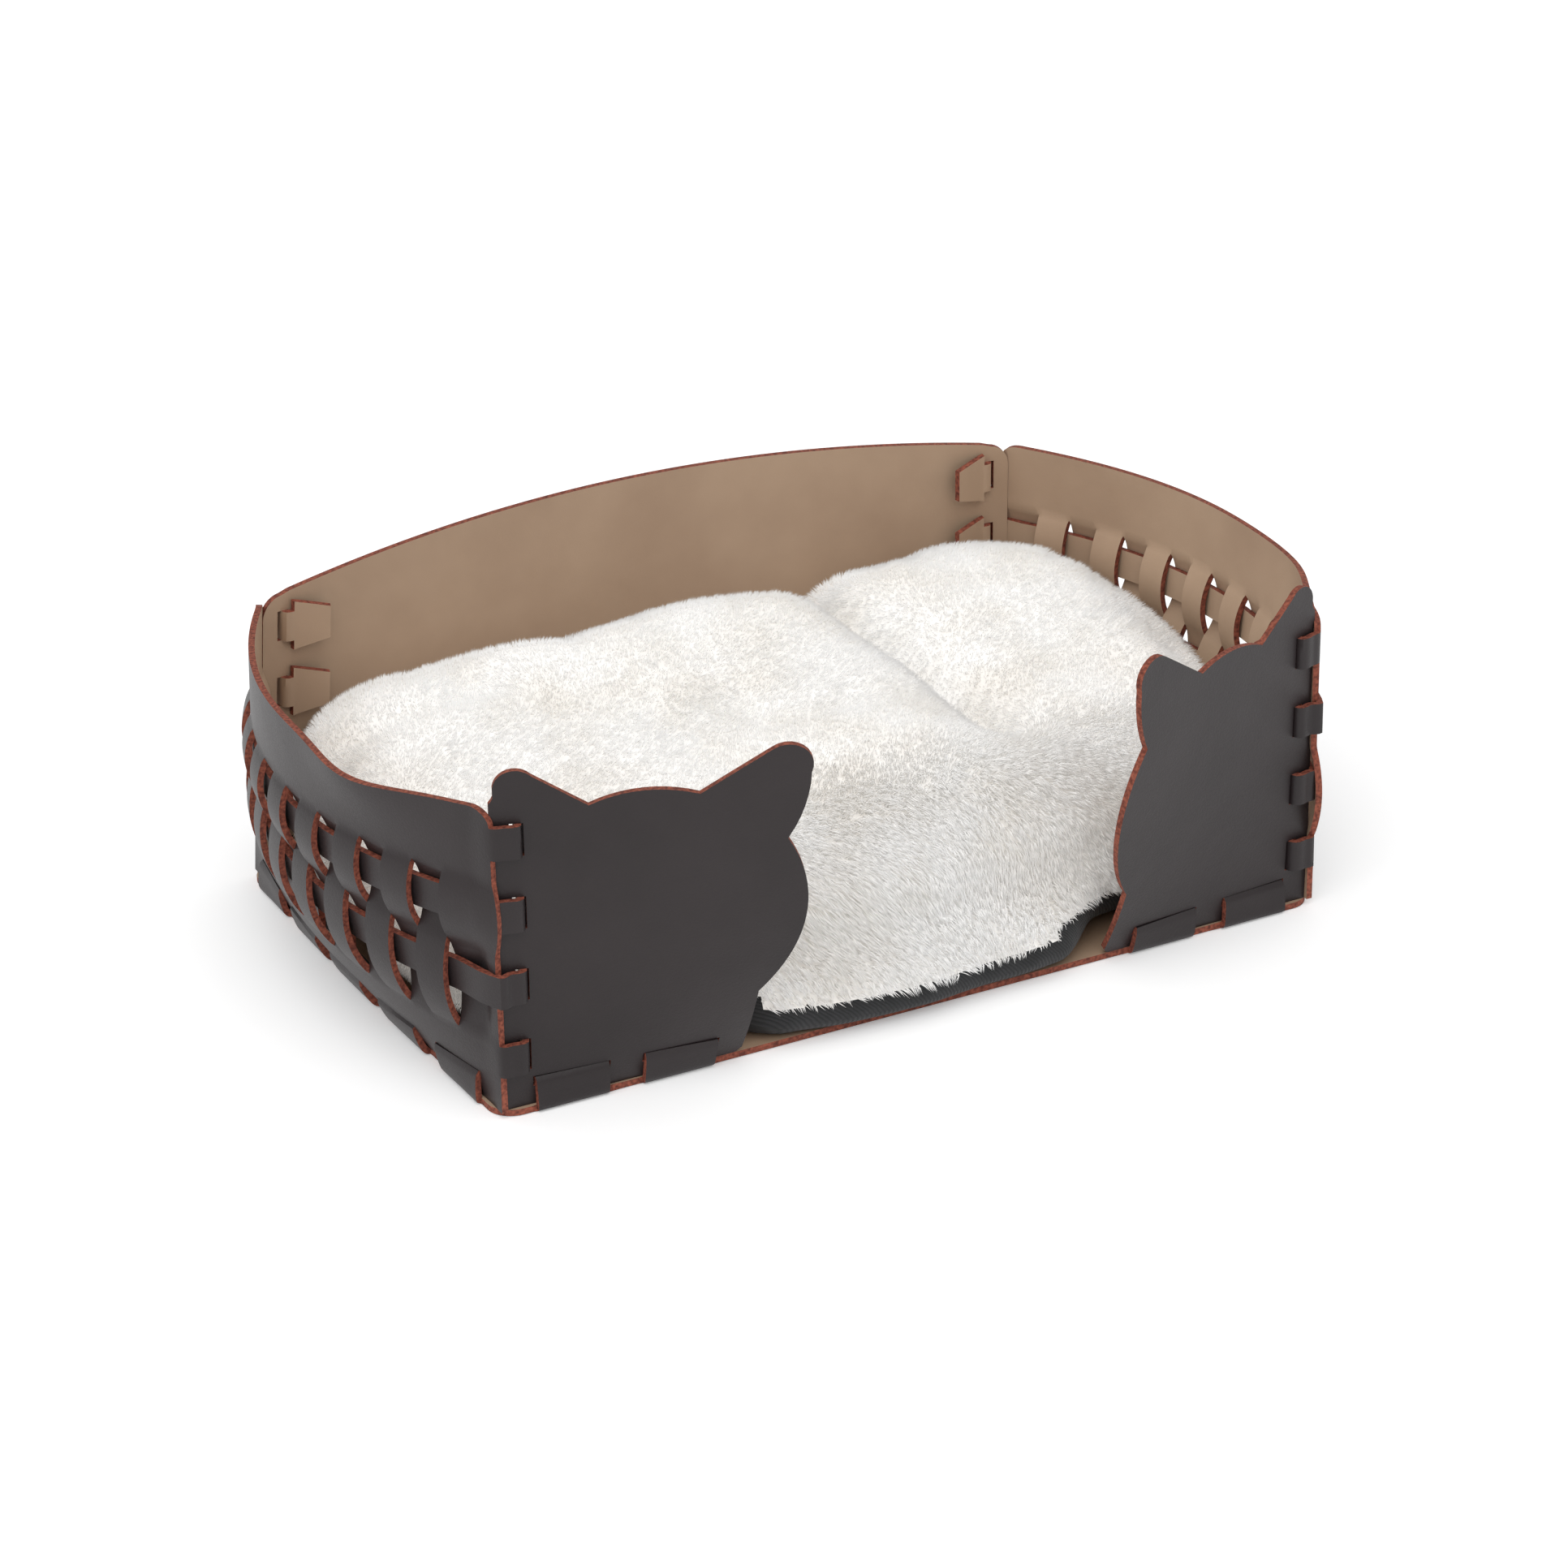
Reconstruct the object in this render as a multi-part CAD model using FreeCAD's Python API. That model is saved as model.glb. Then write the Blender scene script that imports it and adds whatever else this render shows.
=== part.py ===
"""Pet cushion bed: a flat-pack basket of thick bonded leather around a fur cushion.

The frame is +X to the right, +Y to the back and +Z up, in millimetres. The origin is the
centre of the base panel's underside. Every wall is one bent sheet of leather. The side walls
are slit into strips and two straps are woven through them. Tabs at the corners and along the
base pass through slots in the next sheet and lock there.
"""
import FreeCAD
import Part
import math
import os

# ---------------------------------------------------------------- driving dimensions
LEATHER = 4.0             # thickness of every leather sheet
BED_WIDTH = 566.0         # outside the side walls, at the front corners
BED_DEPTH = 378.0         # outside the front and back walls, at the base
WALL_HEIGHT = 198.0       # top of the walls at the corners
DRAWN_HEIGHT = 198.0      # wall height that the cat heads' heights are drawn for
CLEARANCE = 0.5           # gap between two sheets that lie on each other

BASE_OVERHANG = 3.0       # base panel beyond the outside of the walls
BASE_CORNER_RADIUS = 16.0

SIDE_BOW = 55.0           # how far a side wall bulges outward at mid length
BACK_BOW = 20.0           # how far the back wall bulges backward at mid width
BOW_RISE = 55.0           # height over which the bulge grows
BACK_LEAN = 18.0          # the back corners lean forward by this much at the wall's top
BACK_PINCH = 8.0          # and come inward by this much
ARCH_RISE = 25.0          # top of the back wall's arch above its corners
FRONT_FLARE = 0.4865      # steepest forward slope of the front panels, across the bed
FLARE_RISE = 110.0        # height over which the flare grows
LEAN_SHARE = 1.05         # a flared panel's thickness along Y over its real thickness
SLAB_LEVELS = 8           # heights that the flared panels' surface runs through
HEAD_SPAN = 190.0         # room for a head's width
HEAD_ROOM = 1.2           # room for its ears, as a share of the wall height
TOP_RADIUS = 15.0         # rounding of the walls' top corners

STRIP_COUNT = 16          # vertical strips in each side wall
FIRST_STRIP = 32.0        # width of the strip at the front corner
LAST_STRIP = 25.0         # width of the strip at the back corner
SLIT_GAP = 0.6            # open width of a slit
SLIT_ABOVE = 10.3         # slits end this far above the upper strap; they start at the lowest tabs' top
HOLD = 1.8                # a strip keeps its swing this far beyond the strap's edges

TAB_BRIM = 9.7            # wall above the top corner tabs
TAB_ROWS = 4
TAB_HEIGHT = 20.4
SLOT_PLAY = 1.2           # slot beyond the tab, all round
SLOT_DEPTH = 120.0        # length of the cutter for a slot, well over any bulge
LAP_SLOPE = 1.1           # laps are measured square to the walls' slope
TAB_REACH = 11.5          # from a wall's end to where the tab dives into its slot
LOCK_LENGTH = 20.0        # arrow-shaped lock at a tab's end
LOCK_HEIGHT = 34.0        # its widest part
LOCK_TIP = 22.0           # its tip
LOCK_ROOM = 0.1           # from the lowest locks down to the base tabs that come in below them

BASE_TAB_WIDTH = 46.0
BASE_TAB_TOP = 19.5       # height of the middle of the slot that a base tab enters
BASE_TAB_MARGIN = 20.0    # from a wall's end to its first base tab
SIDE_TAB_COUNT = 5
BACK_TAB_COUNT = 7
FRONT_TAB_GAP = 23.0      # between the two base tabs of one front panel
BASE_TAB_TAIL = 12.0      # length of a base tab inside the wall
BASE_TAB_LEATHER = 3.4    # a base tab's thickness, pressed thinner so that it bends
BASE_TAB_ROOT = 5.0       # how far a base tab's solid starts inside the base panel
BASE_TAB_LAP = 6.0        # from the middle of a wall to the middle of the base tab outside it
BASE_TAB_BELLY = 2.0      # how far the tab stands out further at its lower bend
BASE_TAB_STEPS = 4        # flats across a base tab

CUSHION_SIDE_GAP = 21.0   # underside to the outside of a side wall at the front corner
CUSHION_BACK_GAP = 29.0   # underside to the outside of the back wall
CUSHION_FRONT_GAP = 19.0  # underside to the outside of the front wall, at its ends
CUSHION_TONGUE = 14.0     # how far the front edge swells forward in the entrance
CUSHION_HEIGHT = 138.0    # top of the crown above the base panel
CUSHION_LIFT = 0.5        # rest gap above the base panel
CLOTH = 2.0               # thickness of the cloth underside
FUR = 12.0                # thickness of the fur cover with its pile
CUSHION_SIDES = 40        # flats round the cushion
CUSHION_SQUARENESS = 0.4  # 1 is an ellipse, 0 a rectangle
TONGUE_HALF = 150.0       # half the width of that swelling
CUSHION_LEVELS = [        # half width, front and back against the underside's, at a share of height
    (0, 0, 0, 0),
    (20, -2, 4, 0.25),
    (36, 2, 7, 0.6),
    (32, 26, 4, 0.82),
    (6, 76, -14, 0.95),
    (-60, 140, -60, 1),
]

# ---------------------------------------------------------------- derived sizes
HALF = LEATHER / 2
SIDE_X = BED_WIDTH / 2 - HALF          # middle of a side wall's sheet, at the front corner
FRONT_Y = -BED_DEPTH / 2 + HALF        # middle of the front wall's sheet
BACK_Y = BED_DEPTH / 2 - HALF          # middle of the back wall's sheet, at the base
LAP = LEATHER + CLEARANCE              # between the middles of two sheets that lap
WEAVE = LEATHER + CLEARANCE            # a strip's swing to either side of the strap
WALL_BOTTOM = LEATHER
FOLLOW = WALL_HEIGHT / DRAWN_HEIGHT    # the heads follow the walls' height
LOWEST_TAB = BASE_TAB_TOP + BASE_TAB_LEATHER / 2 + LOCK_ROOM + (LOCK_HEIGHT + TAB_HEIGHT) / 2
TAB_PITCH = (WALL_HEIGHT - TAB_BRIM - LOWEST_TAB) / (TAB_ROWS - 1)
ROWS = [LOWEST_TAB + TAB_PITCH * (TAB_ROWS - 1 - i) for i in range(TAB_ROWS)]
UPPER_ROW, LOWER_ROW = ROWS[1], ROWS[2]
SLIT_BOTTOM = ROWS[3]
SLIT_TOP = UPPER_ROW + SLIT_ABOVE
PANEL_END = SIDE_X - HALF - CLEARANCE  # outer end of the front panels and the back wall
CUSHION_HALF_X = BED_WIDTH / 2 - CUSHION_SIDE_GAP
CUSHION_BACK = BED_DEPTH / 2 - CUSHION_BACK_GAP
CUSHION_FRONT = CUSHION_FRONT_GAP - BED_DEPTH / 2


def growth(z, rise):
    """From 0 at the base towards 1 high up."""
    return 1 - math.exp(-max(z, 0.0) / rise)


def flare(z):
    return FRONT_FLARE * growth(z, FLARE_RISE)


def back_corner(z):
    share = z / WALL_HEIGHT
    return SIDE_X - BACK_PINCH * share, BACK_Y - BACK_LEAN * share


def side_wall(s, z):
    """Middle of the right side wall, at share s of the way from front to back."""
    x_back, y_back = back_corner(z)
    bulge = SIDE_BOW * growth(z, BOW_RISE) * 4 * s * (1 - s)
    return FreeCAD.Vector(SIDE_X + (x_back - SIDE_X) * s + bulge, FRONT_Y + (y_back - FRONT_Y) * s, z)


def front_wall(x, z):
    """Middle of the front wall at distance x right of the centre."""
    return FreeCAD.Vector(x, FRONT_Y - (SIDE_X - x) * flare(z), z)


def back_wall(x, z):
    x_corner, y_corner = back_corner(z)
    bulge = BACK_BOW * growth(z, BOW_RISE) * (1 - (x / x_corner) ** 2)
    return FreeCAD.Vector(x, y_corner + bulge, z)


def outward(surface, a, b):
    """Unit normal of a wall, away from the inside of the bed."""
    step = 0.01
    along = surface(a + step, b) - surface(a - step, b)
    up = surface(a, b + 1) - surface(a, b - 1)
    normal = along.cross(up).normalize()
    inside = surface(a, b)
    inside.z = 0
    return normal if normal.dot(inside) > 0 else normal * -1


# ---------------------------------------------------------------- sheets from quads
def sheet(quads, thickness=LEATHER):
    """Solid sheet from quads of its middle surface, each corner a (key, point) pair.

    Corners with one key are one point. An edge that only one quad uses is a cut edge.
    """
    points, normals, faces_at = {}, {}, {}
    for quad in quads:
        keys = [key for key, point in quad]
        corners = [point for key, point in quad]
        normal = (corners[2] - corners[0]).cross(corners[3] - corners[1]).normalize()
        for key, point in quad:
            points[key] = point
            faces_at.setdefault(key, []).append(normal)
    for key, around in faces_at.items():
        total = FreeCAD.Vector()
        for normal in around:
            total += normal
        total.normalize()
        mitre = sum(total.dot(normal) for normal in around) / len(around)
        normals[key] = total * (thickness / 2 / mitre)
    edges = {}
    for quad in quads:
        keys = [key for key, point in quad]
        for a, b in zip(keys, keys[1:] + keys[:1]):
            edges[(a, b)] = edges.get((a, b), 0) + 1
    outer = {key: points[key] + normals[key] for key in points}
    inner = {key: points[key] - normals[key] for key in points}
    faces = []

    def panel(*corners):
        a, b, c, d = corners
        for triangle in ((a, b, c), (a, c, d)):
            faces.append(Part.Face(Part.makePolygon(list(triangle) + [triangle[0]])))

    for quad in quads:
        a, b, c, d = [key for key, point in quad]
        panel(outer[a], outer[b], outer[c], outer[d])
        panel(inner[a], inner[b], inner[c], inner[d])
    for a, b in edges:
        if (b, a) not in edges:
            panel(outer[a], inner[a], inner[b], outer[b])
    shell = Part.Shell(faces)
    shell.sewShape()
    solid = Part.Solid(shell)
    if solid.Volume < 0:
        solid.reverse()
    return solid


def band(columns):
    """Quads between neighbouring (low point, high point) columns."""
    quads = []
    for i, (left, right) in enumerate(zip(columns, columns[1:])):
        quads.append([((i, 0), left[0]), ((i + 1, 0), right[0]),
                      ((i + 1, 1), right[1]), ((i, 1), left[1])])
    return quads


def mirrored(shape):
    return shape.mirror(FreeCAD.Vector(), FreeCAD.Vector(1, 0, 0))


def below_walls():
    """Everything lower than the base panel's upper face."""
    size = BED_WIDTH * 1.5
    return Part.makeBox(size, size, size, FreeCAD.Vector(-size / 2, -size / 2, LEATHER - size))


def single_solid(shape):
    shape = shape.removeSplitter()
    return shape.Solids[0] if len(shape.Solids) == 1 else shape


# ---------------------------------------------------------------- corner tabs
def front_corner(z):
    return SIDE_X, FRONT_Y


def corner_path(surface, corner, swing, low, high):
    """Columns of a corner tab, from the side wall's end round to its lock.

    surface is the wall that the tab enters, corner gives the (x, y) where the two walls meet at
    a height, swing is how far outside the side wall the tab starts, and low and high are the
    heights of its two edges.
    """
    middle = (low + high) / 2
    away = 1 if surface is back_wall else -1
    dive = corner(middle)[0] - TAB_REACH
    shoulder = dive - LAP * 2.7
    turns = [(swing, 0), (swing * 0.8, LAP * 0.7)]
    laps = [(corner(middle)[0] - LAP * 0.8, LAP), (dive, LAP), (dive - LAP * 1.8, -LAP),
            (dive - LAP * 2.6, -LAP)]
    locks = [(shoulder, LOCK_HEIGHT), (shoulder - LOCK_LENGTH, LOCK_TIP)]

    def lapped(x, lap, z):
        return FreeCAD.Vector(x, surface(x, z).y + away * lap * LAP_SLOPE, z)

    columns = []
    for out, past in turns:
        column = []
        for z in (low, high):
            x_corner, y_corner = corner(z)
            column.append(FreeCAD.Vector(x_corner + out, y_corner + away * past, z))
        columns.append(column)
    for x, lap in laps:
        columns.append([lapped(x, lap, low), lapped(x, lap, high)])
    for x, size in locks:
        columns.append([lapped(x, -LAP, middle - size / 2), lapped(x, -LAP, middle + size / 2)])
    return columns


def corner_slot(x_corner, y, top):
    """Cutter for the slot that a corner tab goes through."""
    width = LAP * 1.8 + LEATHER * 1.3 + 2 * SLOT_PLAY
    x_left = x_corner - TAB_REACH - LAP * 1.8 - LEATHER * 0.65 - SLOT_PLAY
    size_z = TAB_HEIGHT + 2 * SLOT_PLAY
    corner = FreeCAD.Vector(x_left, y - SLOT_DEPTH / 2, top - TAB_HEIGHT - SLOT_PLAY)
    return Part.makeBox(width, SLOT_DEPTH, size_z, corner)


def base_slot(start, y):
    """Cutter for the slot in a front or back wall that a base tab goes in through."""
    height = LEATHER + 2 * SLOT_PLAY
    corner = FreeCAD.Vector(start - SLOT_PLAY, y - SLOT_DEPTH / 2, BASE_TAB_TOP - height / 2)
    return Part.makeBox(BASE_TAB_WIDTH + 2 * SLOT_PLAY, SLOT_DEPTH, height, corner)


# ---------------------------------------------------------------- side walls and straps
STRIP_PITCH = (BACK_Y - FRONT_Y - FIRST_STRIP - LAST_STRIP) / (STRIP_COUNT - 2)


def strip_ends(k):
    """Where strip k (1 at the front) starts and ends, as shares of the wall's length."""
    length = BACK_Y - FRONT_Y
    start = 0 if k == 1 else FIRST_STRIP + STRIP_PITCH * (k - 2)
    end = length if k == STRIP_COUNT else FIRST_STRIP + STRIP_PITCH * (k - 1)
    return start / length, end / length


def swing_out(k, upper, first_out):
    """+1 where strip k passes outside the strap, -1 where it passes inside."""
    odd = k % 2 == 1
    return 1 if (odd == first_out) == upper else -1


def side_panel(first_out):
    """Right side wall. first_out tells whether strip 1 passes outside the upper strap."""
    half = TAB_HEIGHT / 2
    reach = half + HOLD
    middle_upper, middle_lower = UPPER_ROW - half, LOWER_ROW - half
    weave_levels = [(SLIT_BOTTOM, 0), (middle_lower - reach, -1), (middle_lower + reach, -1),
                    (middle_upper - reach, 1), (middle_upper + reach, 1), (SLIT_TOP, 0)]
    low_levels = [WALL_BOTTOM, 3 * WALL_BOTTOM, ROWS[3] - TAB_HEIGHT, SLIT_BOTTOM]
    top_levels = [SLIT_TOP, ROWS[0] - TAB_HEIGHT, ROWS[0], WALL_HEIGHT]
    quads = []

    def solid_band(levels):
        for low, high in zip(levels, levels[1:]):
            for k in range(1, STRIP_COUNT + 1):
                s0, s1 = strip_ends(k)
                quads.append([((k - 1, low), side_wall(s0, low)), ((k, low), side_wall(s1, low)),
                              ((k, high), side_wall(s1, high)), ((k - 1, high), side_wall(s0, high))])

    def woven(k, edge, level):
        z, row = level
        share = strip_ends(k)[edge]
        if row == 0:
            return (k - 1 + edge, z), side_wall(share, z)
        swing = WEAVE * swing_out(k, row > 0, first_out)
        if share in (0, 1):
            swing = max(swing, 0)
        else:
            share += (1 if edge == 0 else -1) * SLIT_GAP / 2 / (BACK_Y - FRONT_Y)
        return (k, edge, z), side_wall(share, z) + outward(side_wall, share, z) * swing

    solid_band(low_levels)
    solid_band(top_levels)
    for k in range(1, STRIP_COUNT + 1):
        for low, high in zip(weave_levels, weave_levels[1:]):
            quads.append([woven(k, 0, low), woven(k, 1, low), woven(k, 1, high), woven(k, 0, high)])
    for top in (ROWS[0], ROWS[3]):
        bottom = top - TAB_HEIGHT
        for column, surface in ((0, front_wall), (STRIP_COUNT, back_wall)):
            quads += own_tab(column, surface, bottom, top)
    panel = sheet(quads)
    return single_solid(panel.cut(Part.makeCompound(side_cutters() + [below_walls()])))


def own_tab(column, surface, bottom, top):
    """Corner tab that is part of the side wall, joined to its end column."""
    at_back = column > 0
    path = corner_path(surface, back_corner if at_back else front_corner, 0, bottom, top)
    path[0] = (side_wall(at_back, bottom), side_wall(at_back, top))
    quads = []
    for i, (near, far) in enumerate(zip(path, path[1:])):
        name = ("tab", column, bottom)
        low_key = (column, bottom) if i == 0 else (name, i, 0)
        high_key = (column, top) if i == 0 else (name, i, 1)
        quad = [(low_key, near[0]), ((name, i + 1, 0), far[0]),
                ((name, i + 1, 1), far[1]), (high_key, near[1])]
        quads.append(quad if at_back else quad[::-1])
    return quads


def side_cutters():
    """Slots for the base tabs and the rounding of the wall's two top corners."""
    cutters = []
    for start in side_tab_starts():
        y = FRONT_Y + start - SLOT_PLAY
        height = LEATHER + 2 * SLOT_PLAY
        place = FreeCAD.Vector(SIDE_X - SIDE_BOW, y, BASE_TAB_TOP - height / 2)
        cutters.append(Part.makeBox(2 * SIDE_BOW, BASE_TAB_WIDTH + 2 * SLOT_PLAY, height, place))
    for at_back in (False, True):
        end = side_wall(at_back, WALL_HEIGHT)
        inward = -1 if at_back else 1
        centre = FreeCAD.Vector(0, end.y + inward * (TOP_RADIUS - HALF), WALL_HEIGHT - TOP_RADIUS)
        block = Part.makeBox(SIDE_X * 2, TOP_RADIUS * 2, TOP_RADIUS * 2, centre)
        if not at_back:
            block.translate(FreeCAD.Vector(0, -TOP_RADIUS * 2, 0))
        bar = Part.makeCylinder(TOP_RADIUS, SIDE_X * 2, centre, FreeCAD.Vector(1, 0, 0))
        cutters.append(block.cut(bar))
    return cutters


def weave_strap(upper, first_out):
    """Right strap of one row, from its front lock to its back lock."""
    top = UPPER_ROW if upper else LOWER_ROW
    bottom = top - TAB_HEIGHT

    def end_swing(k):
        return 0 if swing_out(k, upper, first_out) > 0 else WEAVE

    front = corner_path(front_wall, front_corner, end_swing(1), bottom, top)
    back = corner_path(back_wall, back_corner, end_swing(STRIP_COUNT), bottom, top)
    shares = [strip_ends(k)[1] for k in range(1, STRIP_COUNT)]
    along = [(side_wall(s, bottom), side_wall(s, top)) for s in shares]
    return sheet(band(front[::-1] + along + back))


# ---------------------------------------------------------------- front and back panels
def slab(inner_x, height):
    """Flared front wall from the corner to inner_x, before its outline is cut."""
    levels = [height * i / SLAB_LEVELS for i in range(SLAB_LEVELS + 1)]
    half = HALF * LEAN_SHARE

    def profile(x, offset):
        points = []
        for z in levels:
            place = front_wall(x, z)
            points.append(FreeCAD.Vector(x, place.y + offset, z))
        curve = Part.BSplineCurve()
        curve.interpolate(points)
        return curve.toShape(), points

    def section(x):
        front, front_points = profile(x, -half)
        back, back_points = profile(x, half)
        top = Part.makeLine(front_points[-1], back_points[-1])
        bottom = Part.makeLine(back_points[0], front_points[0])
        return Part.Wire([front, top, back, bottom])

    return Part.makeLoft([section(SIDE_X), section(inner_x)], True, True)


def drawn(inward, height):
    """Point of a head's outline, inward from the panel's outer end, at its drawn height."""
    return FreeCAD.Vector(PANEL_END - inward, 0, height * FOLLOW)


def head_outline():
    """Right front panel's outline: the head and ears of a cat, in the plane of X and Z."""
    low_end, low_corner = drawn(0, 0), drawn(146.5, 0)
    low_end.z = low_corner.z = WALL_BOTTOM
    neck, throat = drawn(151.5, 57), drawn(151.5, 9)
    steps = [
        (low_end, drawn(0, 207)),
        (drawn(0, 207), drawn(1.5, 213)),
        (drawn(1.5, 213), drawn(10, 221), drawn(20.5, 217.5)),
        (drawn(20.5, 217.5), drawn(50.5, 197)),
        (drawn(50.5, 197), drawn(79.5, 204.5), drawn(109.5, 200)),
        (drawn(109.5, 200), drawn(147.5, 226)),
        (drawn(147.5, 226), drawn(163, 226.5), drawn(168.5, 210)),
        (drawn(168.5, 210), drawn(165.5, 187), drawn(157.5, 167)),
        (drawn(157.5, 167), drawn(172, 115), neck),
        (neck, throat),
        (throat, low_corner),
        (low_corner, low_end),
    ]
    edges = [Part.makeLine(*step) if len(step) == 2 else Part.Arc(*step).toShape() for step in steps]
    return Part.Wire(edges)


def front_panel():
    """Right front panel."""
    outline = Part.Face(head_outline())
    reach = 2 * BED_DEPTH
    outline.translate(FreeCAD.Vector(0, -reach / 2, 0))
    prism = outline.extrude(FreeCAD.Vector(0, reach, 0))
    panel = slab(PANEL_END - HEAD_SPAN, WALL_HEIGHT * HEAD_ROOM).common(prism)
    cutters = [corner_slot(SIDE_X, FRONT_Y, top) for top in ROWS]
    cutters += [base_slot(start, FRONT_Y) for start in front_tab_starts()]
    return single_solid(panel.cut(Part.makeCompound(cutters)))


def back_panel():
    """Back wall, arched along its top, with slots for both corners and the base."""
    columns, rows = 20, 9

    def point(i, j):
        share = 2 * i / columns - 1
        top = WALL_HEIGHT + ARCH_RISE * (1 - share ** 2)
        z = WALL_BOTTOM + (top - WALL_BOTTOM) * j / rows
        pinch = min(z, WALL_HEIGHT) / WALL_HEIGHT * BACK_PINCH
        return (i, j), back_wall(share * (PANEL_END - pinch), z)

    quads = []
    for i in range(columns):
        for j in range(rows):
            quads.append([point(i, j), point(i + 1, j), point(i + 1, j + 1), point(i, j + 1)])
    panel = sheet(quads)
    cutters = []
    for top in ROWS:
        x_corner, y_corner = back_corner(top - TAB_HEIGHT / 2)
        slot = corner_slot(x_corner, y_corner, top)
        cutters += [slot, mirrored(slot)]
    cutters += [base_slot(start, BACK_Y) for start in back_tab_starts()]
    x_top = PANEL_END - BACK_PINCH
    centre = FreeCAD.Vector(x_top - TOP_RADIUS, BACK_Y - SLOT_DEPTH / 2, WALL_HEIGHT - TOP_RADIUS)
    block = Part.makeBox(TOP_RADIUS * 2, SLOT_DEPTH, TOP_RADIUS * 2, centre)
    bar = Part.makeCylinder(TOP_RADIUS, SLOT_DEPTH, centre, FreeCAD.Vector(0, 1, 0))
    rounding = block.cut(bar)
    cutters += [rounding, mirrored(rounding), below_walls()]
    return single_solid(panel.cut(Part.makeCompound(cutters)))


# ---------------------------------------------------------------- base
def side_tab_starts():
    """Distances from the front wall to the near edges of the side walls' base tabs."""
    room = BACK_Y - FRONT_Y - 2 * BASE_TAB_MARGIN - BASE_TAB_WIDTH
    return [BASE_TAB_MARGIN + room * i / (SIDE_TAB_COUNT - 1) for i in range(SIDE_TAB_COUNT)]


def back_tab_starts():
    """Left edges of the back wall's base tabs, from the centre."""
    room = 2 * SIDE_X - 2 * BASE_TAB_MARGIN - BASE_TAB_WIDTH
    return [BASE_TAB_MARGIN - SIDE_X + room * i / (BACK_TAB_COUNT - 1) for i in range(BACK_TAB_COUNT)]


def front_tab_starts():
    """Left edges of the right front panel's two base tabs, from the centre."""
    outer = SIDE_X - BASE_TAB_MARGIN - BASE_TAB_WIDTH
    return [outer, outer - FRONT_TAB_GAP - BASE_TAB_WIDTH]


def base_tab(surface, a0, a1, edge):
    """Tab that curls up outside a wall and goes in through its slot.

    surface is the wall, a0 and a1 the tab's two ends along it, and edge the base panel's edge
    there as (axis, position): 0 for a side edge and 1 for a front or back edge.
    """
    axis, position = edge
    columns = []
    for i in range(BASE_TAB_STEPS + 1):
        a = a0 + (a1 - a0) * i / BASE_TAB_STEPS
        foot = surface(a, HALF)
        away = outward(surface, a, BASE_TAB_TOP)
        away.z = 0
        away.normalize()
        start = FreeCAD.Vector(foot)
        start[axis] = position - math.copysign(BASE_TAB_ROOT, position)
        turn = surface(a, HALF) + away * (BASE_TAB_LAP + BASE_TAB_BELLY)
        turn.z = HALF
        low = surface(a, BASE_TAB_TOP / 2) + away * (BASE_TAB_LAP + BASE_TAB_BELLY)
        high = surface(a, BASE_TAB_TOP - BASE_TAB_LAP / 2) + away * BASE_TAB_LAP
        mouth = surface(a, BASE_TAB_TOP) + away * (BASE_TAB_LAP / 2)
        mouth.z = BASE_TAB_TOP
        tail = surface(a, BASE_TAB_TOP) - away * BASE_TAB_TAIL
        tail.z = BASE_TAB_TOP
        columns.append([start, turn, low, high, mouth, tail])
    quads = []
    for i in range(BASE_TAB_STEPS):
        for j in range(len(columns[0]) - 1):
            quads.append([((i, j), columns[i][j]), ((i + 1, j), columns[i + 1][j]),
                          ((i + 1, j + 1), columns[i + 1][j + 1]), ((i, j + 1), columns[i][j + 1])])
    return sheet(quads, BASE_TAB_LEATHER)


def base_panel():
    half_x = BED_WIDTH / 2 + BASE_OVERHANG
    half_y = BED_DEPTH / 2 + BASE_OVERHANG
    plate = Part.makeBox(2 * half_x, 2 * half_y, LEATHER, FreeCAD.Vector(-half_x, -half_y, 0))
    upright = [edge for edge in plate.Edges if abs(edge.BoundBox.ZLength - LEATHER) < 1e-6]
    plate = plate.makeFillet(BASE_CORNER_RADIUS, upright)
    tabs = []
    length = BACK_Y - FRONT_Y
    for start in side_tab_starts():
        tab = base_tab(side_wall, start / length, (start + BASE_TAB_WIDTH) / length, (0, half_x))
        tabs += [tab, mirrored(tab)]
    for start in front_tab_starts():
        tab = base_tab(front_wall, start, start + BASE_TAB_WIDTH, (1, -half_y))
        tabs += [tab, mirrored(tab)]
    for start in back_tab_starts():
        tabs.append(base_tab(back_wall, start, start + BASE_TAB_WIDTH, (1, half_y)))
    return plate.fuse(tabs)


# ---------------------------------------------------------------- cushion
def cushion_ring(grow, front, back, z):
    """Points round the cushion at one height, a rounded rectangle that swells at the entrance."""
    half_x = CUSHION_HALF_X + grow
    half_y = (back - front) / 2
    ring = []
    for i in range(CUSHION_SIDES):
        angle = 2 * math.pi * i / CUSHION_SIDES
        c, s = math.cos(angle), math.sin(angle)
        x = half_x * math.copysign(abs(c) ** CUSHION_SQUARENESS, c)
        y = (front + back) / 2 + half_y * math.copysign(abs(s) ** CUSHION_SQUARENESS, s)
        if s < 0:
            y -= CUSHION_TONGUE * (1 - min(1.0, abs(x) / TONGUE_HALF) ** 2)
        ring.append(FreeCAD.Vector(x, y, z))
    return ring


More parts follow.
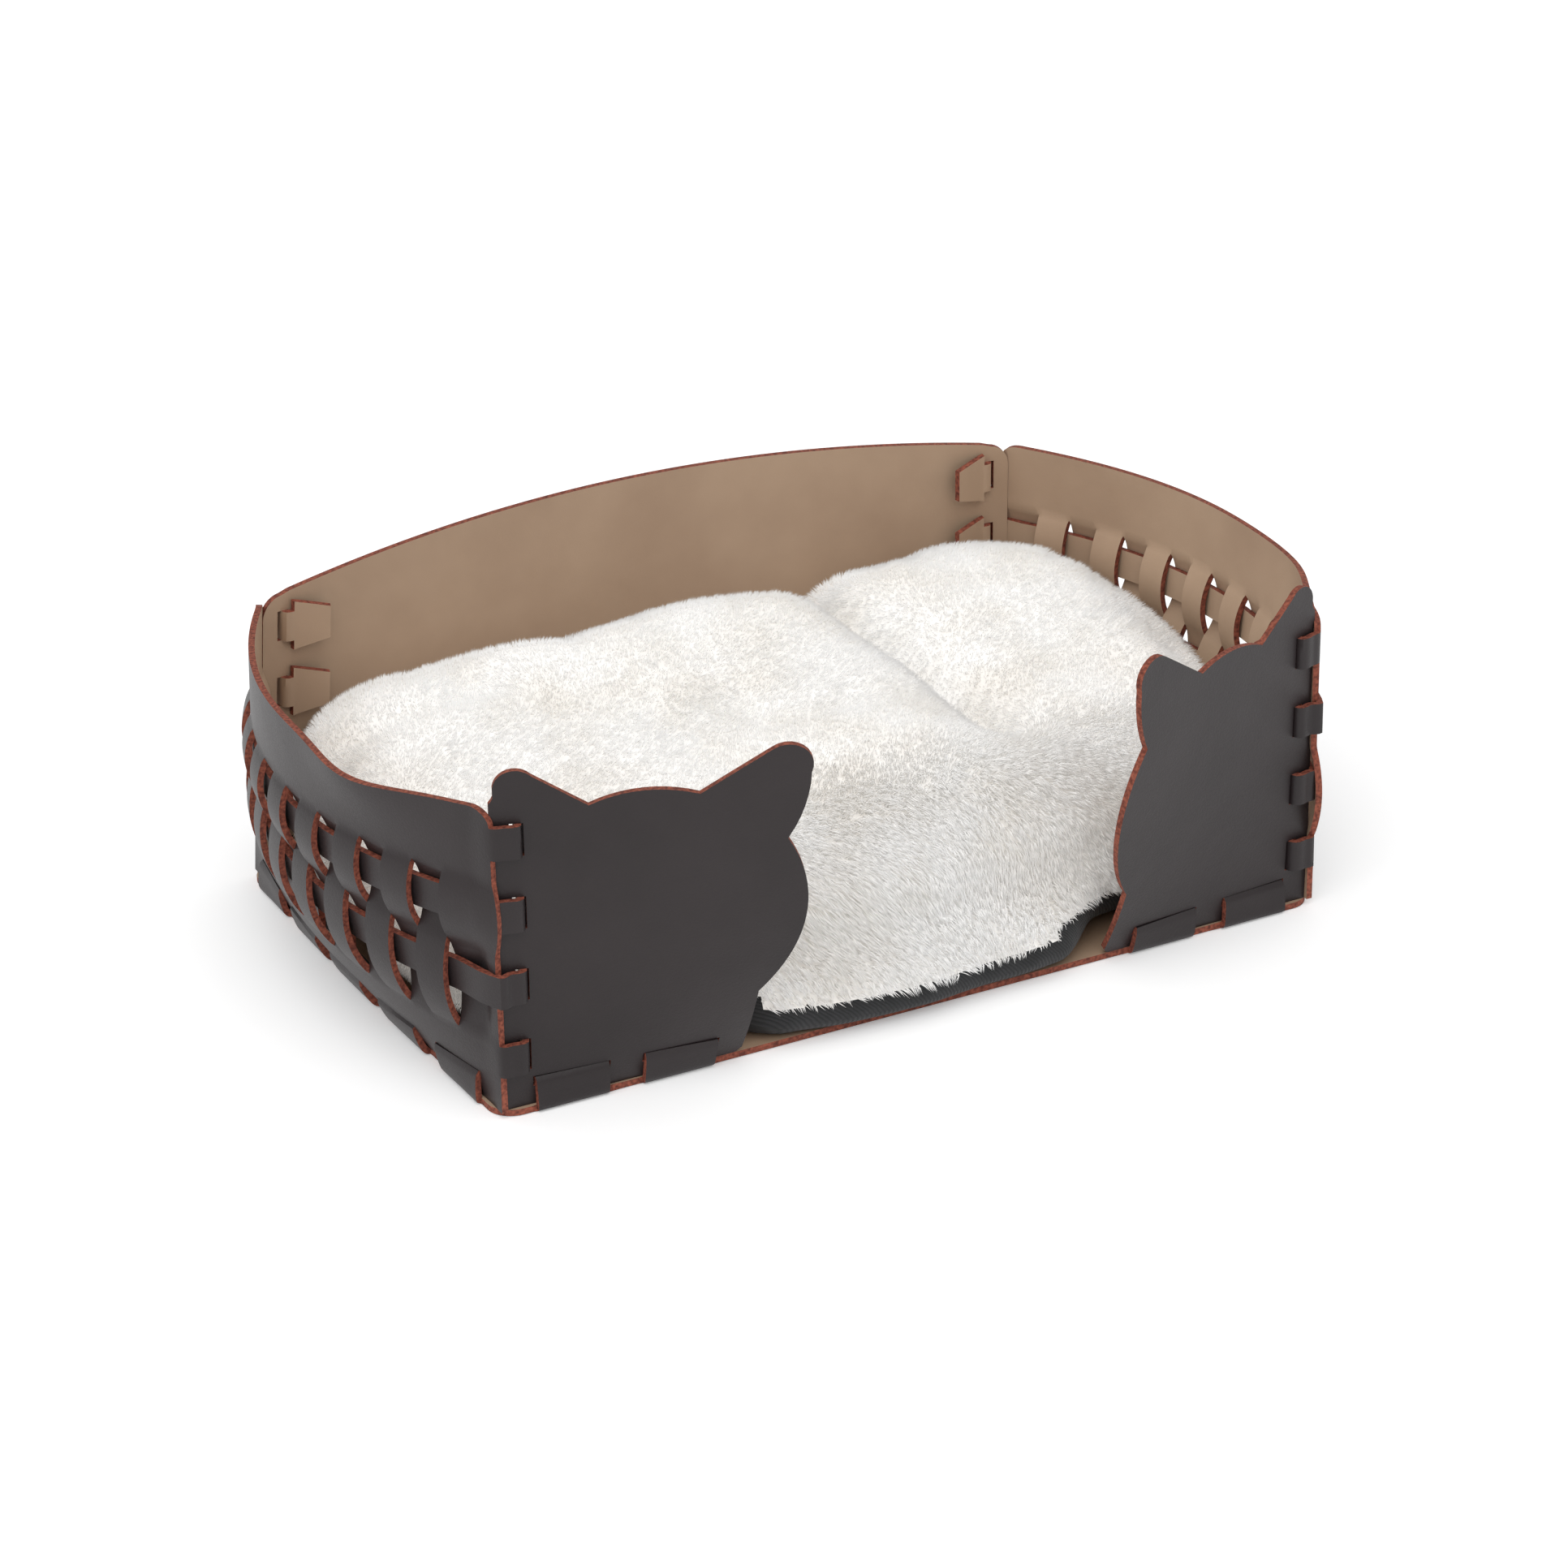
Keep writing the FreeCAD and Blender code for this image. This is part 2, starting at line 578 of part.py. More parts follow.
def cushion_body(inset, bottom):
    """Plump cushion: full at the back, sloping down to the entrance."""
    top = LEATHER + CUSHION_LIFT + CUSHION_HEIGHT
    rings = []
    for grow, front, back, share in CUSHION_LEVELS:
        z = bottom + (top - inset - bottom) * share
        front_y, back_y = CUSHION_FRONT + front + inset, CUSHION_BACK + back - inset
        rings.append(cushion_ring(grow - inset, front_y, back_y, z))
    faces = []
    for low, high in zip(rings, rings[1:]):
        for i in range(CUSHION_SIDES):
            a, b = low[i - 1], low[i]
            c, d = high[i], high[i - 1]
            faces.append(Part.Face(Part.makePolygon([a, b, c, a])))
            faces.append(Part.Face(Part.makePolygon([a, c, d, a])))
    for ring in (rings[0], rings[-1]):
        faces.append(Part.Face(Part.makePolygon(ring + [ring[0]])))
    shell = Part.Shell(faces)
    shell.sewShape()
    solid = Part.Solid(shell)
    if solid.Volume < 0:
        solid.reverse()
    return solid


def cushion_parts():
    bottom = LEATHER + CUSHION_LIFT
    whole = cushion_body(0, bottom)
    filling = cushion_body(FUR, bottom + CLOTH)
    size = BED_WIDTH * 1.5
    above = Part.makeBox(size, size, size, FreeCAD.Vector(-size / 2, -size / 2, bottom + CLOTH))
    cloth = whole.cut(above)
    fur = whole.common(above).cut(filling)
    return {"cushion_fur_cover": fur, "cushion_underside": cloth, "cushion_filling": filling}


# ---------------------------------------------------------------- build
def build():
    right_first_out, left_first_out = False, True
    parts = {
        "base_panel": base_panel(),
        "back_panel": back_panel(),
        "side_panel_right": side_panel(right_first_out),
        "side_panel_left": mirrored(side_panel(left_first_out)),
        "front_panel_right": front_panel(),
    }
    parts["front_panel_left"] = mirrored(parts["front_panel_right"])
    for name, upper in (("upper", True), ("lower", False)):
        parts["weave_strap_right_" + name] = weave_strap(upper, right_first_out)
        parts["weave_strap_left_" + name] = mirrored(weave_strap(upper, left_first_out))
    parts.update(cushion_parts())
    return parts


os.makedirs("parts", exist_ok=True)
for node, shape in build().items():
    shape.exportStep("parts/" + node + ".step")
    box = shape.BoundBox
    print("%-26s solids %d valid %s volume %9.0f  x %.1f %.1f  y %.1f %.1f  z %.1f %.1f" % (
        node, len(shape.Solids), shape.isValid(), shape.Volume,
        box.XMin, box.XMax, box.YMin, box.YMax, box.ZMin, box.ZMax))
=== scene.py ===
# %% [markdown]
# # A pet cushion bed
#
# The real bed is flat-pack. Seven sheets of thick bonded leather are die-cut flat, bent by hand
# and locked together with tabs, and a fur cushion is dropped in. Every sheet is therefore made
# here as it is made in the workshop: its cut is drawn flat on the table, and then it is bent.
# The cushion is sewn, stuffed by a cloth simulation, and covered with real strands of pile.

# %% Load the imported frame
import math

import bpy
import numpy as np
from mathutils import Matrix, Vector
from mathutils.kdtree import KDTree


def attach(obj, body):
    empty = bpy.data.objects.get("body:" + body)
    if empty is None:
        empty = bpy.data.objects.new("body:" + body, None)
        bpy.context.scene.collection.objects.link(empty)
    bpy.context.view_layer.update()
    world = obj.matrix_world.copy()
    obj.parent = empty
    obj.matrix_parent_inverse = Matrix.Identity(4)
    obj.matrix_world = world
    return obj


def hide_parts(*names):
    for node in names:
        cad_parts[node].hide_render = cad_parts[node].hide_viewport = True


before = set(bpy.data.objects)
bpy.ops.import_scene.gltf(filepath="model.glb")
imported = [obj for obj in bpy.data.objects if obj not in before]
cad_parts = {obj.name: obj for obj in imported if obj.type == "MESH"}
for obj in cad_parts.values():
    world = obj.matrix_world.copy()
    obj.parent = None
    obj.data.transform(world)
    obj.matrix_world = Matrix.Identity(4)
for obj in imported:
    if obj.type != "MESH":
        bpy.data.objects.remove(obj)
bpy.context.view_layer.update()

MM = 0.001

# %% [markdown]
# The camera comes first, because it decides how much detail each piece needs. It stands about
# three metres away with a long lens, so the bed's sides stay nearly parallel. A camera looks
# along its own -Z, so its three axes are built as vectors and put in a matrix.

# %% Camera
LENS = 106.14                                  # millimetres, on a 36 mm wide sensor
EYE = Vector((-1239.4, -2374.5, 1298.5)) * MM
YAW, PITCH, ROLL = (math.radians(a) for a in (27.85, 24.53, -1.15))
FRAME_SHIFT = (-0.0069, -0.0021)               # share of the frame's width


def make_camera():
    ahead = Vector((math.sin(YAW) * math.cos(PITCH), math.cos(YAW) * math.cos(PITCH),
                    -math.sin(PITCH)))
    right = Vector((math.cos(YAW), -math.sin(YAW), 0))
    up = right.cross(ahead)
    turned_right = right * math.cos(ROLL) + up * math.sin(ROLL)
    turned_up = up * math.cos(ROLL) - right * math.sin(ROLL)
    bpy.ops.object.camera_add()
    camera = bpy.context.object
    camera.name = "bed_camera"
    axes = Matrix((turned_right, turned_up, -ahead)).transposed().to_4x4()
    camera.matrix_world = Matrix.Translation(EYE) @ axes
    camera.data.lens = LENS
    camera.data.shift_x, camera.data.shift_y = FRAME_SHIFT
    camera.data.clip_end = 20
    bpy.context.scene.camera = camera
    return camera


camera = make_camera()
print("camera:", round(camera.matrix_world.translation.length, 2), "m from the bed's centre")

# %% [markdown]
# ## Sizes
# These are the bed's own sizes in millimetres. X runs to the right, Y to the back and Z up. A side
# wall is cut with fifteen slits, so it has sixteen upright strips that the straps weave through.

# %% Sizes
LEATHER = 4.0
SIDE_X, FRONT_Y, BACK_Y = 281.0, -187.0, 187.0
LENGTH = BACK_Y - FRONT_Y
WALL_HEIGHT = 198.0
WALL_BOTTOM = LEATHER
LAP = WEAVE = 4.5                              # middle to middle of two sheets that touch
ROWS = [188.3, 141.7, 95.1, 48.5]              # tops of the four rows of corner tabs
UPPER_ROW, LOWER_ROW = ROWS[1], ROWS[2]
TAB_HEIGHT = 20.4
SLOT_PLAY = 1.2
STRIP_COUNT = 16
FIRST_STRIP, LAST_STRIP = 32.0, 25.0
STRIP_PITCH = (LENGTH - FIRST_STRIP - LAST_STRIP) / (STRIP_COUNT - 2)
SLIT_BOTTOM, SLIT_TOP = 48.5, 152.0
STRIP_EDGES = [0.0] + [FIRST_STRIP + STRIP_PITCH * i for i in range(STRIP_COUNT - 1)] + [LENGTH]
print("strips are", round(STRIP_PITCH, 2), "mm apart")

# %% [markdown]
# ## How the walls stand
# A curved sheet could be modelled in place, but then each slot and slit would have to be cut on
# the bend. Here each wall is a formula that turns a point of the flat cut into a place in the
# air, so all that lies on the sheet bends with it. A wall stands on a straight line at the base
# and bulges more and more above it; `growth` gives how much of a bulge has come at a height.

# %% Bent walls
SIDE_BULGE, BULGE_RISE = 55.0, 55.0            # furthest bulge, and the height in which it comes
PANEL_FLARE, FLARE_RISE = 0.4865, 110.0        # forward slope of the front panels
BACK_BOW = 20.0
CORNER_IN, CORNER_FORWARD = 8.0, 18.0          # how far a back corner leans in at its top
BRIM_SPREAD, BRIM_DIP = 9.0, 5.0               # the brim spreads and dips in its front third
BRIM_PLACE, BRIM_REACH = 95.0, 48.0


def ease(t):
    """Smooth step from 0 to 1."""
    t = np.clip(t, 0, 1)
    return t * t * (3 - 2 * t)


def growth(z, rise):
    return 1 - np.exp(-np.maximum(z, 0.0) / rise)


def back_corner(z):
    return SIDE_X - CORNER_IN * z / WALL_HEIGHT, BACK_Y - CORNER_FORWARD * z / WALL_HEIGHT


def brim_bump(along):
    return np.exp(-((along - BRIM_PLACE) / BRIM_REACH) ** 2)


def side_wall(along, z):
    """Middle of the right side wall, along being millimetres from the front corner."""
    share = along / LENGTH
    x_back, y_back = back_corner(z)
    brim = ease((z - SLIT_TOP) / (WALL_HEIGHT - SLIT_TOP))
    bulge = SIDE_BULGE * growth(z, BULGE_RISE) * 4 * share * (1 - share)
    bulge = bulge + BRIM_SPREAD * brim_bump(along) * brim
    return np.stack([SIDE_X + (x_back - SIDE_X) * share + bulge,
                     FRONT_Y + (y_back - FRONT_Y) * share, z], axis=1)


def front_wall(x, z):
    """Middle of the right front panel: it flares forward towards the entrance."""
    slope = PANEL_FLARE * growth(z, FLARE_RISE)
    return np.stack([x, FRONT_Y - (SIDE_X - x) * slope, z], axis=1)


def back_wall(x, z):
    """Middle of the back wall, which bows backwards between its leaning corners."""
    x_corner, y_corner = back_corner(z)
    bow = BACK_BOW * growth(z, BULGE_RISE) * (1 - (x / x_corner) ** 2)
    return np.stack([x, y_corner + bow, z], axis=1)


middle = side_wall(np.array([LENGTH / 2]), np.array([WALL_HEIGHT]))[0]
print("the right side wall's brim is", round(float(middle[0]), 1), "mm from the bed's middle")

# %% [markdown]
# The ends of a side wall curl round the corners before their tabs leave. What lies on a wall,
# such as a strip that passes over a strap, is moved along the wall's normal, and near an end that
# direction turns with the curl.

# %% Curled ends and normals
WRAP = 12.0                                    # length of the curl at each end
FRONT_CURL, BACK_CURL = (0.8, -5.0), (-0.6, 4.2)
FRONT_FACING, BACK_FACING = np.array([0.1, -1.0, 0.0]), np.array([0.1, 1.0, 0.0])


def end_shares(along):
    """How far a place has come into the front end's curl, and into the back end's."""
    return ease(1 - along / WRAP), ease(1 - (LENGTH - along) / WRAP)


def curl_ends(wall, along):
    """Curls a side wall's two ends towards the front and back walls' outer faces."""
    front, back = end_shares(along)
    wall[:, 0] += FRONT_CURL[0] * front + BACK_CURL[0] * back
    wall[:, 1] += BACK_CURL[1] * back + FRONT_CURL[1] * front
    return wall


def normals_of(surface, a, z):
    """Unit normals of a wall, pointing away from the bed's centre."""
    along = surface(a + 0.5, z) - surface(a - 0.5, z)
    up = surface(a, z + 0.5) - surface(a, z - 0.5)
    normal = np.cross(along, up)
    normal /= np.linalg.norm(normal, axis=1)[:, None]
    flat = surface(a, z) * (1, 1, 0)
    return normal * np.sign((normal * flat).sum(axis=1))[:, None]


def swing_direction(along, z):
    """A side wall's normal, which turns to face the front or the back where the wall curls."""
    front, back = (share[:, None] for share in end_shares(along))
    turned = (normals_of(side_wall, along, z) * (1 - front - back)
              + FRONT_FACING * front + BACK_FACING * back)
    return turned / np.linalg.norm(turned, axis=1)[:, None]


corner = swing_direction(np.array([0.0]), np.array([WALL_HEIGHT / 2]))[0]
print("at its front end a side wall faces", [round(float(d), 2) for d in corner])

# %% [markdown]
# ## Tools for flat cuts
# A cut starts as a circle primitive whose corners are moved onto the outline, which gives one
# filled face. Bisect then rules lines across it wherever the sheet has to bend, and faces are
# deleted where a slot is punched. Points are read and written as one array, which is fast.

# %% Select, read and turn over a piece
def edit_mode(on=True):
    bpy.ops.object.mode_set(mode="EDIT" if on else "OBJECT")


def deselect_all():
    if bpy.context.object and bpy.context.object.mode != "OBJECT":
        edit_mode(False)
    bpy.ops.object.select_all(action="DESELECT")


def only(piece):
    deselect_all()
    piece.select_set(True)
    bpy.context.view_layer.objects.active = piece


def points_of(piece):
    flat = np.empty(len(piece.data.vertices) * 3)
    piece.data.vertices.foreach_get("co", flat)
    return flat.reshape(-1, 3)


def set_points(piece, points):
    piece.data.vertices.foreach_set("co", np.asarray(points, float).ravel())
    piece.data.update()


def face_centres(piece):
    flat = np.empty(len(piece.data.polygons) * 3)
    piece.data.polygons.foreach_get("center", flat)
    return flat.reshape(-1, 3)


def turn_over(piece):
    only(piece)
    edit_mode()
    bpy.ops.mesh.select_all(action="SELECT")
    bpy.ops.mesh.flip_normals()
    edit_mode(False)


def face_out(piece, outside):
    """Turns the sheet over if its faces point away from the direction outside."""
    normals = np.empty(len(piece.data.polygons) * 3)
    piece.data.polygons.foreach_get("normal", normals)
    if (normals.reshape(-1, 3) * outside).sum() < 0:
        turn_over(piece)


def copy_of(piece, name):
    """A copy with its own mesh."""
    copy = piece.copy()
    copy.data = piece.data.copy()
    copy.name = name
    bpy.context.scene.collection.objects.link(copy)
    return copy


# %% Draw, rule and punch a flat cut
def arc(centre, radius, start, end, steps=8):
    """Points of an arc, angles in degrees."""
    return [(centre[0] + radius * math.cos(math.radians(start + (end - start) * i / steps)),
             centre[1] + radius * math.sin(math.radians(start + (end - start) * i / steps)))
            for i in range(steps + 1)]


def evenly(start, end, step):
    count = max(1, round(abs(end - start) / step))
    return [start + (end - start) * i / count for i in range(count + 1)]


def edges_of(slots, first):
    """The two limits of each slot (u0, u1, v0, v1), from its number first on."""
    return [limit for slot in slots for limit in slot[first:first + 2]]


def cut_outline(name, outline):
    """A flat face with the given outline, in millimetres, anticlockwise."""
    deselect_all()
    bpy.ops.mesh.primitive_circle_add(vertices=len(outline), fill_type="NGON")
    piece = bpy.context.object
    piece.name = name
    set_points(piece, [(u, v, 0) for u, v in outline])
    return piece


def rule_lines(piece, across, along):
    """Rules lines across the cut at u = each of across and v = each of along."""
    only(piece)
    edit_mode()
    for axis, places in ((0, across), (1, along)):
        for place in sorted(set(round(p, 3) for p in places)):
            point, normal = [0, 0, 0], [0, 0, 0]
            point[axis], normal[axis] = place, 1
            bpy.ops.mesh.select_all(action="SELECT")
            bpy.ops.mesh.bisect(plane_co=point, plane_no=normal, threshold=0.0005)
    edit_mode(False)


def punch(piece, slots):
    """Deletes the faces inside each slot (u0, u1, v0, v1)."""
    centres = face_centres(piece)
    inside = np.zeros(len(centres), bool)
    for u0, u1, v0, v1 in slots:
        inside |= ((centres[:, 0] > u0) & (centres[:, 0] < u1)
                   & (centres[:, 1] > v0) & (centres[:, 1] < v1))
    only(piece)
    edit_mode()
    bpy.ops.mesh.select_mode(type="FACE")
    bpy.ops.mesh.select_all(action="DESELECT")
    edit_mode(False)
    piece.data.polygons.foreach_set("select", inside)
    edit_mode()
    bpy.ops.mesh.delete(type="FACE")
    edit_mode(False)


print("a corner of 10 mm radius takes", len(arc((0, 0), 10, 0, 90)), "points")

# %% [markdown]
# ## Materials
# Bonded leather is ground leather pressed into a sheet. Its face is coated dark brown with a fine
# embossed grain, its back is a taupe suede-like skin, and the die leaves a red-brown fibrous edge.

# %% Colour and node helpers
def linear(hex_colour):
    """Linear RGBA of an sRGB hex colour."""
    channels = [int(hex_colour[i:i + 2], 16) / 255 for i in (1, 3, 5)]
    return [c / 12.92 if c <= 0.04045 else ((c + 0.055) / 1.055) ** 2.4 for c in channels] + [1.0]


def add_node(material, kind, settings=None, links=None):
    """Adds a node. settings are its properties or input values; links are input -> output socket."""
    node = material.node_tree.nodes.new(kind)
    for key, value in (settings or {}).items():
        if hasattr(node, key):
            setattr(node, key, value)
        else:
            node.inputs[key].default_value = value
    for key, socket in (links or {}).items():
        material.node_tree.links.new(socket, node.inputs[key])
    return node


def blank_material(name):
    material = bpy.data.materials.new(name)
    material.use_nodes = True
    material.node_tree.nodes.clear()
    return material


def finish_material(material, shader):
    output = add_node(material, "ShaderNodeOutputMaterial")
    material.node_tree.links.new(shader.outputs[0], output.inputs["Surface"])
    return material


def per_mm(size):
    """Texture scale, per metre, of a pattern whose cells are size millimetres."""
    return 1000.0 / size


def two_tone(material, place, size, low, high, detail=3.0, centre=0.5, spread=0.2):
    """Colour that wanders between two hex colours in patches of size millimetres."""
    noise = add_node(material, "ShaderNodeTexNoise", {"Scale": per_mm(size), "Detail": detail},
                     {"Vector": place})
    ramp = add_node(material, "ShaderNodeValToRGB", {}, {"Fac": noise.outputs["Fac"]})
    ramp.color_ramp.elements[0].position = centre - spread
    ramp.color_ramp.elements[1].position = centre + spread
    ramp.color_ramp.elements[0].color = linear(low)
    ramp.color_ramp.elements[1].color = linear(high)
    return ramp.outputs["Color"]


# %% [markdown]
# The leather's face has rounded grain cells with pores between them, and the sheet as a whole is
# never quite flat, which breaks up its highlights. The matt edge shows bare fibres.

# %% Leather, inside and out, and its cut edge
PATCH_MM = 70.0                                # the colour wanders over a hand's width
WAVE_MM, WAVE_DEPTH = 45.0, 1.2                # slow waves of a sheet that has been bent by hand


def coated_leather(name, low, high, roughness, grain_mm, depth_mm):
    """Pressed leather: rounded grain cells with finer pores between them."""
    material = blank_material(name)
    place = add_node(material, "ShaderNodeTexCoord").outputs["Object"]
    colour = two_tone(material, place, PATCH_MM, low, high)
    cells = add_node(material, "ShaderNodeTexVoronoi",
                     {"feature": "SMOOTH_F1", "Scale": per_mm(grain_mm)}, {"Vector": place})
    pores = add_node(material, "ShaderNodeTexNoise",
                     {"Scale": per_mm(grain_mm * 0.4), "Detail": 2.0}, {"Vector": place})
    waves = add_node(material, "ShaderNodeTexNoise",
                     {"Scale": per_mm(WAVE_MM), "Detail": 2.0}, {"Vector": place})
    both = add_node(material, "ShaderNodeMath", {"operation": "ADD"},
                    {0: cells.outputs["Distance"], 1: pores.outputs["Fac"]})
    fine = add_node(material, "ShaderNodeBump", {"Strength": 0.35, "Distance": depth_mm * MM},
                    {"Height": both.outputs[0]})
    broad = add_node(material, "ShaderNodeBump", {"Strength": 0.5, "Distance": WAVE_DEPTH * MM},
                     {"Height": waves.outputs["Fac"], "Normal": fine.outputs["Normal"]})
    uneven = add_node(material, "ShaderNodeMapRange",
                      {"From Min": 0.3, "From Max": 0.7, "To Min": roughness - 0.05,
                       "To Max": roughness + 0.06}, {"Value": pores.outputs["Fac"]})
    shader = add_node(material, "ShaderNodeBsdfPrincipled", {"IOR": 1.48, "Specular IOR Level": 0.4},
                      {"Base Color": colour, "Roughness": uneven.outputs[0],
                       "Normal": broad.outputs["Normal"]})
    return finish_material(material, shader)


def fibre_edge(name):
    """The die-cut edge: short matted fibres in red-brown."""
    material = blank_material(name)
    place = add_node(material, "ShaderNodeTexCoord").outputs["Object"]
    colour = two_tone(material, place, 2.2, "#5a2a1f", "#94503c", detail=6.0, spread=0.16)
    fibres = add_node(material, "ShaderNodeTexNoise", {"Scale": per_mm(0.9), "Detail": 5.0},
                      {"Vector": place})
    bump = add_node(material, "ShaderNodeBump", {"Strength": 0.6, "Distance": 0.5 * MM},
                    {"Height": fibres.outputs["Fac"]})
    shader = add_node(material, "ShaderNodeBsdfPrincipled", {"IOR": 1.45, "Roughness": 0.8},
                      {"Base Color": colour, "Normal": bump.outputs["Normal"]})
    return finish_material(material, shader)


# The grain is under 1 mm on the real sheet; it is drawn at 1.6 mm so that it shows at all.
LEATHER_OUT = coated_leather("bonded_leather_charcoal_face", "#1f1819", "#272021", 0.44, 1.6, 0.2)
LEATHER_IN = coated_leather("bonded_leather_taupe_back", "#a48a73", "#b0967e", 0.6, 1.3, 0.12)
LEATHER_EDGE = fibre_edge("die_cut_fibre_edge")
print("leather materials:", LEATHER_OUT.name, LEATHER_IN.name, LEATHER_EDGE.name)

# %% [markdown]
# ## From flat cut to thick sheet
# Once a cut is bent, Solidify gives it the leather's 4 mm. Solidify can put each new wall in its
# own material, so one modifier gives the dark face, the taupe back and the red edge.

# %% Thicken a bent sheet
SHARP_ANGLE = math.radians(40)                 # a cut edge stays crisp and a bend is smooth


def thicken(piece):
    for material in (LEATHER_OUT, LEATHER_IN, LEATHER_EDGE):
        piece.data.materials.append(material)
    only(piece)
    solid = piece.modifiers.new("thickness", "SOLIDIFY")
    solid.thickness = LEATHER * MM
    solid.offset = 0
    solid.use_even_offset = True
    solid.material_offset = 1
    solid.material_offset_rim = 2
    bpy.ops.object.modifier_apply(modifier=solid.name)
    bpy.ops.object.shade_smooth_by_angle(angle=SHARP_ANGLE)
    print(piece.name, len(piece.data.polygons), "faces,", [round(d, 3) for d in piece.dimensions])


def mirror_copy(piece, name):
    """A left copy of a right-hand sheet, turned so that its faces still point outwards."""
    copy = copy_of(piece, name)
    set_points(copy, points_of(copy) * (-1, 1, 1))
    turn_over(copy)
    return copy


def settle(piece, node):
    """The sheet rides with the bed and stands for its CAD node."""
    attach(piece, "bed")
    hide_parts(node)


# %% [markdown]
# ## Corner tabs
# A tab leaves the side wall, turns round the corner with a soft bend, dives through its slot and
# lies flat inside with its arrow-shaped lock. Its path in plan is a quadratic B-spline, which
# bends like a thick sheet does. The path is worked out again at each height, because the walls
# lean.

# %% Path of a corner tab
TAB_REACH, LOCK_LENGTH, LOCK_HEIGHT, LOCK_TIP = 9.0, 22.5, 34.0, 22.0
TAB_FLAT = 48.0                                # flat length of a tab with its lock


def tab_controls(at_back, swing, z):
    """Control points (x, y) of the tab's path at height z, for the right-hand corner."""
    surface = back_wall if at_back else front_wall
    away = 1 if at_back else -1
    dive = (back_corner(z)[0] if at_back else SIDE_X) - TAB_REACH
    # Each pair is how far inward of its dive the tab is, and how far outside the crossed wall.
    laps = [(LAP * 1.2 - TAB_REACH, LAP * 1.1), (1.5, LAP * 1.25), (LAP * 1.2, LAP * 0.9),
            (LAP * 1.45, -LAP), (LAP * 2.2, -LAP * 1.15), (LAP * 3.0, -LAP * 1.1),
            (LAP * 2.6 + 0.5 + LOCK_LENGTH, -LAP * 2.8)]
    ends = np.array([LENGTH, LENGTH - 1.0]) if at_back else np.array([0.0, 1.0])
    start, inner = curl_ends(side_wall(ends, np.array([z, z])), ends)[:, :2]
    ahead = (start - inner) / np.linalg.norm(start - inner)
    side = (BACK_FACING if at_back else FRONT_FACING)[:2]
    points = [start + side * swing, start + side * swing * 0.8 + ahead * 2.0]
    for inward, lap in laps:
        x = dive - inward
        y = surface(np.array([x]), np.array([z]))[0][1]
        points.append(np.array([x, y + away * lap * 1.1]))
    return np.array(points)


def b_spline(controls, count=60):
    """Points of a clamped quadratic B-spline."""
    middles = (controls[1:] + controls[:-1]) / 2
    pieces = []
    starts = [controls[0]] + list(middles[1:-1])
    ends = list(middles[1:-1]) + [controls[-1]]
    for start, bend, end in zip(starts, controls[1:-1], ends):
        t = np.linspace(0, 1, count // len(starts) + 2)[:-1, None]
        pieces.append((1 - t) ** 2 * start + 2 * t * (1 - t) * bend + t ** 2 * end)
    return np.vstack(pieces + [controls[-1][None]])


def walk_along(curve, share):
    """Places on the curve after each share, from 0 to 1, of its length."""
    run = np.concatenate([[0], np.cumsum(np.linalg.norm(np.diff(curve, axis=0), axis=1))])
    return np.stack([np.interp(share * run[-1], run, axis) for axis in curve.T], axis=1)


def along_tab(at_back, swing, distance, z):
    """Places of tab points that lie distance past the wall's end, at heights z."""
    result = np.empty((len(z), 3))
    for height in np.unique(np.round(z, 2)):
        rows = np.abs(z - height) < 0.006
        curve = b_spline(tab_controls(at_back, swing, height))
        result[rows, :2] = walk_along(curve, distance[rows] / TAB_FLAT)
        result[rows, 2] = z[rows]
    return result


front_curve = b_spline(tab_controls(False, 0.0, WALL_HEIGHT / 2))
print("a front tab ends", [round(float(d), 1) for d in front_curve[-1] - front_curve[0]],
      "mm from its root")

# %% [markdown]
# The flat cut of a tab is a straight neck and a lock that is wider than its slot, so that it
# holds once it is through. The base's tabs are plain rectangles in slots low on the walls.

# %% Outlines and rows of tabs
BASE_TAB_WIDTH, BASE_TAB_TOP, BASE_TAB_MARGIN = 46.0, 19.5, 20.0
FRONT_TAB_GAP, SIDE_TAB_COUNT, BACK_TAB_COUNT = 23.0, 5, 7
SLOT_LOW = BASE_TAB_TOP - LEATHER / 2 - SLOT_PLAY
SLOT_HIGH = BASE_TAB_TOP + LEATHER / 2 + SLOT_PLAY


def tab_outline(top):
    """Corners of one tab's flat cut, from its lower root round to its upper root, as (past, z)."""
    bottom, middle = top - TAB_HEIGHT, top - TAB_HEIGHT / 2
    neck = TAB_FLAT - LOCK_LENGTH
    return [(0, bottom), (neck, bottom), (neck, middle - LOCK_HEIGHT / 2),
            (TAB_FLAT, middle - LOCK_TIP / 2), (TAB_FLAT, middle + LOCK_TIP / 2),
            (neck, middle + LOCK_HEIGHT / 2), (neck, top), (0, top)]


def ends_outline(tops):
    """Tabs at both ends of a sheet of the side wall's length: the right end's, the left end's."""
    tabs = [corner for top in tops for corner in tab_outline(top)]
    return [(LENGTH + past, z) for past, z in tabs], [(-past, z) for past, z in tabs][::-1]


def tab_row(first, last, count):
    return [first + (last - first) * i / (count - 1) for i in range(count)]


def base_tab_slots(starts):
    return [(start - SLOT_PLAY, start + BASE_TAB_WIDTH + SLOT_PLAY, SLOT_LOW, SLOT_HIGH)
            for start in starts]


